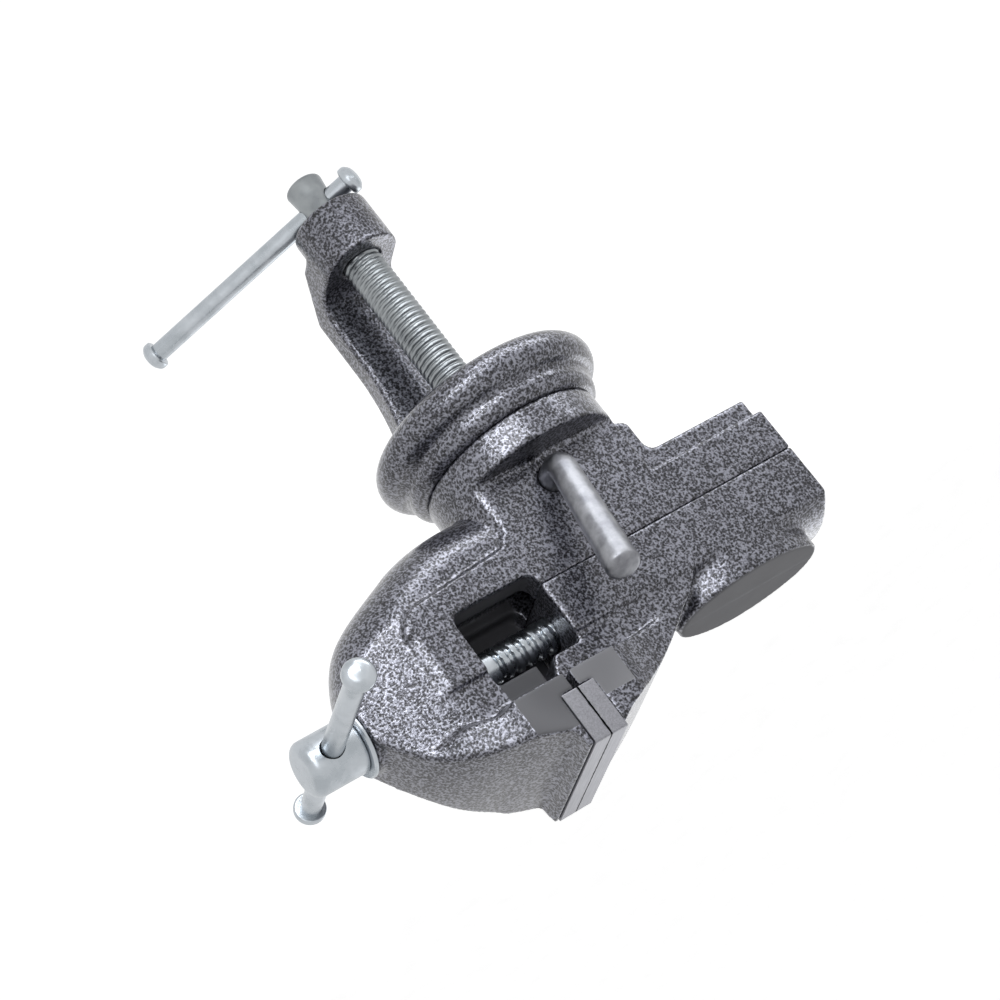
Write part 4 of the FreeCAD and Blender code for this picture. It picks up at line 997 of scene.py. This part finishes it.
@dataclass
class ClampScrew:
    """Screw that clamps the bench, with its flared head and its pad."""

    radius: float = 7.4
    pitch: float = 2.3
    depth: float = 0.65
    tip: float = -4.4
    shoulder: float = -10.9
    tip_radius: float = 5.0
    head_top: float = -91.5
    head: float = 17.0
    handle_height: float = -97.5
    heading: float = -52.6
    hole_radius: float = 3.75

    def shank(self) -> Surface:
        """Flared head, neck, thread and tip in one turned surface.

        Returns:
            The surface, along Z.
        """
        bottom, neck = self.head_top - self.head, self.radius - 1.3
        profile = rounded([
            (bottom, CORE), (bottom, self.radius, 1.6), (bottom + 7.0, neck + 0.5, 14.0),
            (self.head_top, neck, 1.0), (self.head_top + 1.4, self.radius),
            (self.shoulder - 1.2, self.radius), (self.shoulder, self.radius - 1.2),
            (self.shoulder, self.tip_radius), (self.tip, self.tip_radius, 0.6), (self.tip, CORE)], 8)
        low, high = self.head_top + 1.4, self.shoulder - 1.2
        profile = even_rows(profile, low, high, self.pitch / 10)
        ripple = thread_ripple(low, high, self.pitch, self.depth, self.pitch, 1.6)
        return Surface.from_rings(turned(profile, Axis.Z, 64, ripple))

    def pad(self) -> Surface:
        """Swivelling pad: thin disc with a hub that holds the screw's tip.

        Returns:
            The surface, along Z.
        """
        section = np.array([  # height and radius, from the top of the disc down the bore and up the outside
            (-0.3, 0.4), (-4.3, 0.4), (-4.3, 5.1), (-10.8, 5.1), (-10.8, 8.2), (-10.4, 8.6), (-6.2, 8.6),
            (-5.2, 9.2), (-3.9, 13.1), (-3.4, 13.5), (-1.3, 13.5), (-0.6, 13.2), (-0.3, 12.5)])
        return Surface.from_loop(turned(section[::-1], Axis.Z, 64))

    def dress(self, finish: bpy.types.Material) -> None:
        """Build screw and pad and hang them on their bodies.

        Args:
            finish: Their plating.
        """
        screw = self.shank().to_object("clamp_spindle")
        drill(screw, bar_hole(self.hole_radius, self.radius, (0.0, 0.0, self.handle_height),
                              turn_about(Axis.Z, self.heading)))
        place(screw, finish, "clamp_screw_body", "clamp_screw")
        place(self.pad().to_object("swivel_pad"), finish, "clamp_pad_body", "clamp_pad")


@dataclass
class LockLever:
    """Lock screw bent up into a lever that thickens towards its end."""

    root: tuple[float, float, float] = (0.0, -2.5, 44.0)
    turn: float = 14.5
    lean: float = math.radians(16.0)
    start: float = -10.5
    reach: float = -24.5
    bend: float = 8.0
    arm: float = 46.5
    radius: float = 5.0
    root_radius: float = 2.4
    tip_radius: float = 6.2
    bevel: float = 1.6

    def path(self) -> tuple[np.ndarray, np.ndarray]:
        """Centre line in the X-Z plane with its radii: stud, quarter bend and leaning arm.

        The stud starts inside the casting with a thin root, and the arm ends in a rounding that
        follows a quarter circle.

        Returns:
            Points of shape (n, 3) and a radius for each.
        """
        sweep = math.pi / 2 - self.lean
        stud = np.linspace(self.start, self.reach, 16)
        angle = np.linspace(0.0, sweep, 14)[1:]
        bend = np.stack([self.reach - self.bend * np.sin(angle), 0 * angle,
                         self.bend * (1 - np.cos(angle))], axis=-1)
        share = np.linspace(0.0, 1.0, 14)[1:]
        ahead = np.array([-math.sin(self.lean), 0.0, math.cos(self.lean)])
        arm = bend[-1] + ahead * (share * self.arm)[:, None]
        line = np.vstack([np.stack([stud, 0 * stud, 0 * stud], axis=-1), bend, arm])
        neck = [self.start - 5.0, self.start - 2.0, self.start]
        radii = np.concatenate([
            np.interp(stud, neck, [self.radius, self.root_radius, self.root_radius]),
            np.full(len(angle), self.radius),
            self.radius + (self.tip_radius - self.radius) * share])
        last = np.array([0.12, 0.5, 0.85, 1.0]) * self.bevel
        soft = line[-1] + ahead * (last - self.bevel)[:, None]
        line = np.vstack([line[:-1], soft])
        drop = self.bevel * (1 - np.sqrt(np.clip(1 - (last / self.bevel) ** 2, 0, 1)))
        radii = np.concatenate([radii[:-1], self.tip_radius - drop])
        return line, radii

    def dress(self, finish: bpy.types.Material) -> None:
        """Build the lever and hang it on its body.

        Args:
            finish: Its plating.
        """
        line, radii = self.path()
        rings = swept(line, radii, (0.0, 1.0, 0.0))
        lever = Surface.from_rings(rings).moved(turn_about(Axis.X, self.turn), self.root)
        place(lever.to_object("lever_rod"), finish, "lever", "lock_lever")


# ---------------------------------------------------------------- surroundings


@dataclass(frozen=True)
class Lamp:
    """A rectangular soft lamp."""

    name: str
    where: tuple[float, float, float]
    size: tuple[float, float]
    power: float
    aim: tuple[float, float, float]
    colour: tuple[float, float, float] = (0.95, 0.97, 1.0)

    def build(self) -> None:
        """Put the lamp in its place, facing its aim, unseen by the camera."""
        data = bpy.data.lights.new(self.name, "AREA")
        data.shape, data.size, data.size_y = "RECTANGLE", *self.size
        data.energy, data.color = self.power, self.colour
        lamp = bpy.data.objects.new(self.name, data)
        bpy.context.scene.collection.objects.link(lamp)
        back = np.array(self.where) - np.array(self.aim)
        back /= np.linalg.norm(back)
        side = np.cross((0.0, 1.0, 0.0), back)
        side /= np.linalg.norm(side)
        columns = np.array([side, np.cross(back, side), back, self.where]).T
        lamp.matrix_world = Matrix(np.vstack([columns, [0, 0, 0, 1]]).tolist())
        lamp.visible_camera = False


@dataclass
class Studio:
    """Plain floor, soft lamps, even world light and the camera."""

    floor_mm: float = -170.0
    camera: tuple[float, float, float] = (-0.86934, -0.44877, 0.37525)
    right: tuple[float, float, float] = (-0.17551, 0.79999, 0.57378)
    up: tuple[float, float, float] = (-0.50705, 0.42612, -0.74921)
    ahead: tuple[float, float, float] = (0.84386, 0.42242, -0.33085)
    lens: float = 108.58
    glow: float = 0.72
    sky: float = 0.28
    lamps: tuple[Lamp, ...] = (
        Lamp("low_lamp", (-0.155, 0.15, -0.106), (0.11, 0.36), 0.5, (-0.155, 0.15, 1.0)),
        Lamp("near_lamp", (-0.40, -0.15, -0.106), (0.16, 0.34), 1.9, (-0.40, -0.15, 1.0)),
        Lamp("far_lamp", (-0.68, -0.46, -0.106), (0.26, 0.44), 1.9, (-0.68, -0.46, 1.0)),
        Lamp("side_lamp", (-0.75, -0.35, 0.10), (0.45, 0.45), 1.0, (0.0, -0.02, 0.03)),
        Lamp("rear_lamp", (0.60, 0.55, 0.45), (0.60, 0.60), 1.6, (0.0, 0.0, 0.03)),
    )

    def add_camera(self) -> None:
        """Long-lens camera that looks down at the vise, rolled about its axis."""
        data = bpy.data.cameras.new("camera")
        data.lens, data.sensor_width, data.clip_end = self.lens, 36.0, 50.0
        camera = bpy.data.objects.new("camera", data)
        bpy.context.scene.collection.objects.link(camera)
        columns = np.array([self.right, self.up, [-v for v in self.ahead], self.camera]).T
        camera.matrix_world = Matrix(np.vstack([columns, [0, 0, 0, 1]]).tolist())
        bpy.context.scene.camera = camera

    def add_floor(self) -> None:
        """White floor that keeps the shadow, below the lowest place of the clamp screw."""
        mesh = bpy.data.meshes.new("floor")
        half, level = 6.0, self.floor_mm * MM
        mesh.from_pydata([(-half, -half, level), (half, -half, level), (half, half, level),
                          (-half, half, level)], [], [(0, 1, 2, 3)])
        floor = bpy.data.objects.new("floor", mesh)
        bpy.context.scene.collection.objects.link(floor)
        graph = Graph("matt white studio floor")
        add = graph.add
        cloud = add("TexNoise", inputs={"Vector": graph.place, "Scale": 1.0 / (25.0 * MM)})
        white = add("ValToRGB", inputs={"Fac": cloud.outputs["Fac"]},
                    stops=((0.3, "FAFAFA"), (0.7, "FFFFFF"))).outputs["Color"]
        path = add("LightPath").outputs
        seen = add("Math", {"operation": "MAXIMUM"}, {0: path["Is Camera Ray"], 1: path["Is Glossy Ray"]})
        glow = add("Math", {"operation": "MULTIPLY"}, {0: seen.outputs[0], 1: self.glow})
        mesh.materials.append(graph.feed({
            "Base Color": white, "Roughness": 0.9, "Emission Color": white,
            "Emission Strength": glow.outputs[0]}))

    def add_world(self) -> None:
        """Even pale world light."""
        world = bpy.data.worlds.new("even light")
        world.use_nodes = True
        tree = world.node_tree
        tree.nodes.clear()
        path = add_node(tree, "ShaderNodeLightPath")
        shown = add_node(tree, "ShaderNodeMath", {"operation": "MAXIMUM"}, {
            0: path.outputs["Is Camera Ray"], 1: path.outputs["Is Transmission Ray"]})
        seen = add_node(tree, "ShaderNodeMath", {"operation": "MAXIMUM"}, {
            0: shown.outputs[0], 1: path.outputs["Is Glossy Ray"]})
        strength = add_node(tree, "ShaderNodeMapRange", inputs={
            "Value": seen.outputs[0], "To Min": self.sky, "To Max": 1.0})
        light = add_node(tree, "ShaderNodeBackground", inputs={
            "Color": linear("FFFFFF"), "Strength": strength.outputs[0]})
        add_node(tree, "ShaderNodeOutputWorld", inputs={"Surface": light.outputs[0]})
        bpy.context.scene.world = world

    def build(self) -> None:
        """Build the whole surroundings."""
        bpy.context.scene.view_settings.view_transform = "Standard"
        self.add_camera()
        self.add_floor()
        self.add_world()
        for lamp in self.lamps:
            lamp.build()


# ---------------------------------------------------------------- assembly


def dress_rest(finishes: dict[Slot, bpy.types.Material]) -> None:
    """Give a finish to the CAD nodes that no piece has replaced.

    Args:
        finishes: Material of each slot.
    """
    slots = {part["node"]: Slot(part["material_slot"]) for part in frame["record"]["subparts"]}
    for name, item in frame["nodes"].items():
        if not item.hide_render:
            item.data.materials.clear()
            item.data.materials.append(finishes[slots[name]])
            LOG.info("%s keeps its own mesh", name)


def main() -> None:
    """Build every piece in order."""
    logging.basicConfig(level=logging.INFO, format="%(name)s: %(message)s")
    Studio().build()
    zinc = ZincPlate().build()
    rolled_zinc = ZincPlate("zinc plate on the rolled clamp screw", ("828689", "979B9D"), 0.30).build()
    tumbled_zinc = ZincPlate("tumbled zinc plate on the bent lever", ("727378", "949599"),
                             roughness=0.40, cloud_mm=4.5, bump_mm=0.07).build()
    steel = MachinedSteel().build()
    # its seam carries a dark band of painted shade
    plate_steel = MachinedSteel("ground steel of the jaw plates", seam=(30.0, JAW_LINE, 134.5)).build()
    body_paint = HammertonePaint(
        "hammered enamel on the vise body", ground=("58585B", "626265"),
        lands=(((29.7, 31.0), (-68.2, -48.0), (108.9, 126.5)),),
        # neck panel under the wing: darker grey of painted shade
        matt_and_shaded_lands=(((17.3, 18.2), (-63.3, -48.0), (98.0, 108.2)),),
        # the window's hollow: painted shade
        shaded_hollows=(((0.0, 17.4), (-63.2, -30.6), (65.0, 97.7)),)).build()
    jaw_paint = HammertonePaint(
        "hammered enamel on the moving jaw", ground=("707073", "7C7C7F"), matt_and_shade_tones=("57575A", "5E5E61"),
        lands=(((29.7, 31.0), (-46.8, -28.7), (108.9, 122.3)),),
        matt_and_shaded_lands=(((0.0, 40.0), (10.0, 72.0), (106.75, 108.0)),)).build()
    clamp_paint = HammertonePaint("hammered enamel on the clamp").build()
    Casting("vise_body", "body_casting", "vise").dress(body_paint)
    Casting("moving_jaw", "jaw_casting", "jaw").dress(jaw_paint)
    Casting("clamp_frame", "clamp_casting", "clamp").dress(clamp_paint)
    JawPlate("fixed_jaw_plate", "fixed_plate", "vise").dress(plate_steel)
    JawPlate("moving_jaw_plate", "moving_plate", "jaw").dress(plate_steel)
    screw, clamp_screw = MainScrew(), ClampScrew()
    screw.dress(zinc)
    clamp_screw.dress(rolled_zinc)
    LockLever().dress(tumbled_zinc)
    tilt, heading = turn_about(Axis.Y, screw.turn), turn_about(Axis.Z, clamp_screw.heading)
    SlidingHandle(
        "main_handle", "main_handle", ("main_handle_bar", "main_handle_near_cap", "main_handle_far_cap"),
        diameter=7.5, length=106.0, middle=tuple(tilt @ (-11.3, 0.0, 0.0) + screw.middle()),
        turn=tilt).dress(zinc)
    SlidingHandle(
        "clamp_handle", "clamp_handle",
        ("clamp_handle_bar", "clamp_handle_short_cap", "clamp_handle_long_cap"), diameter=7.0, length=98.0,
        middle=tuple(heading @ (33.0, 0.0, 0.0) + (0.0, 0.0, clamp_screw.handle_height)),
        turn=heading).dress(zinc)
    dress_rest({Slot.PAINT: clamp_paint, Slot.MACHINED: steel, Slot.ZINC: zinc})


if __name__ == "__main__":
    main()
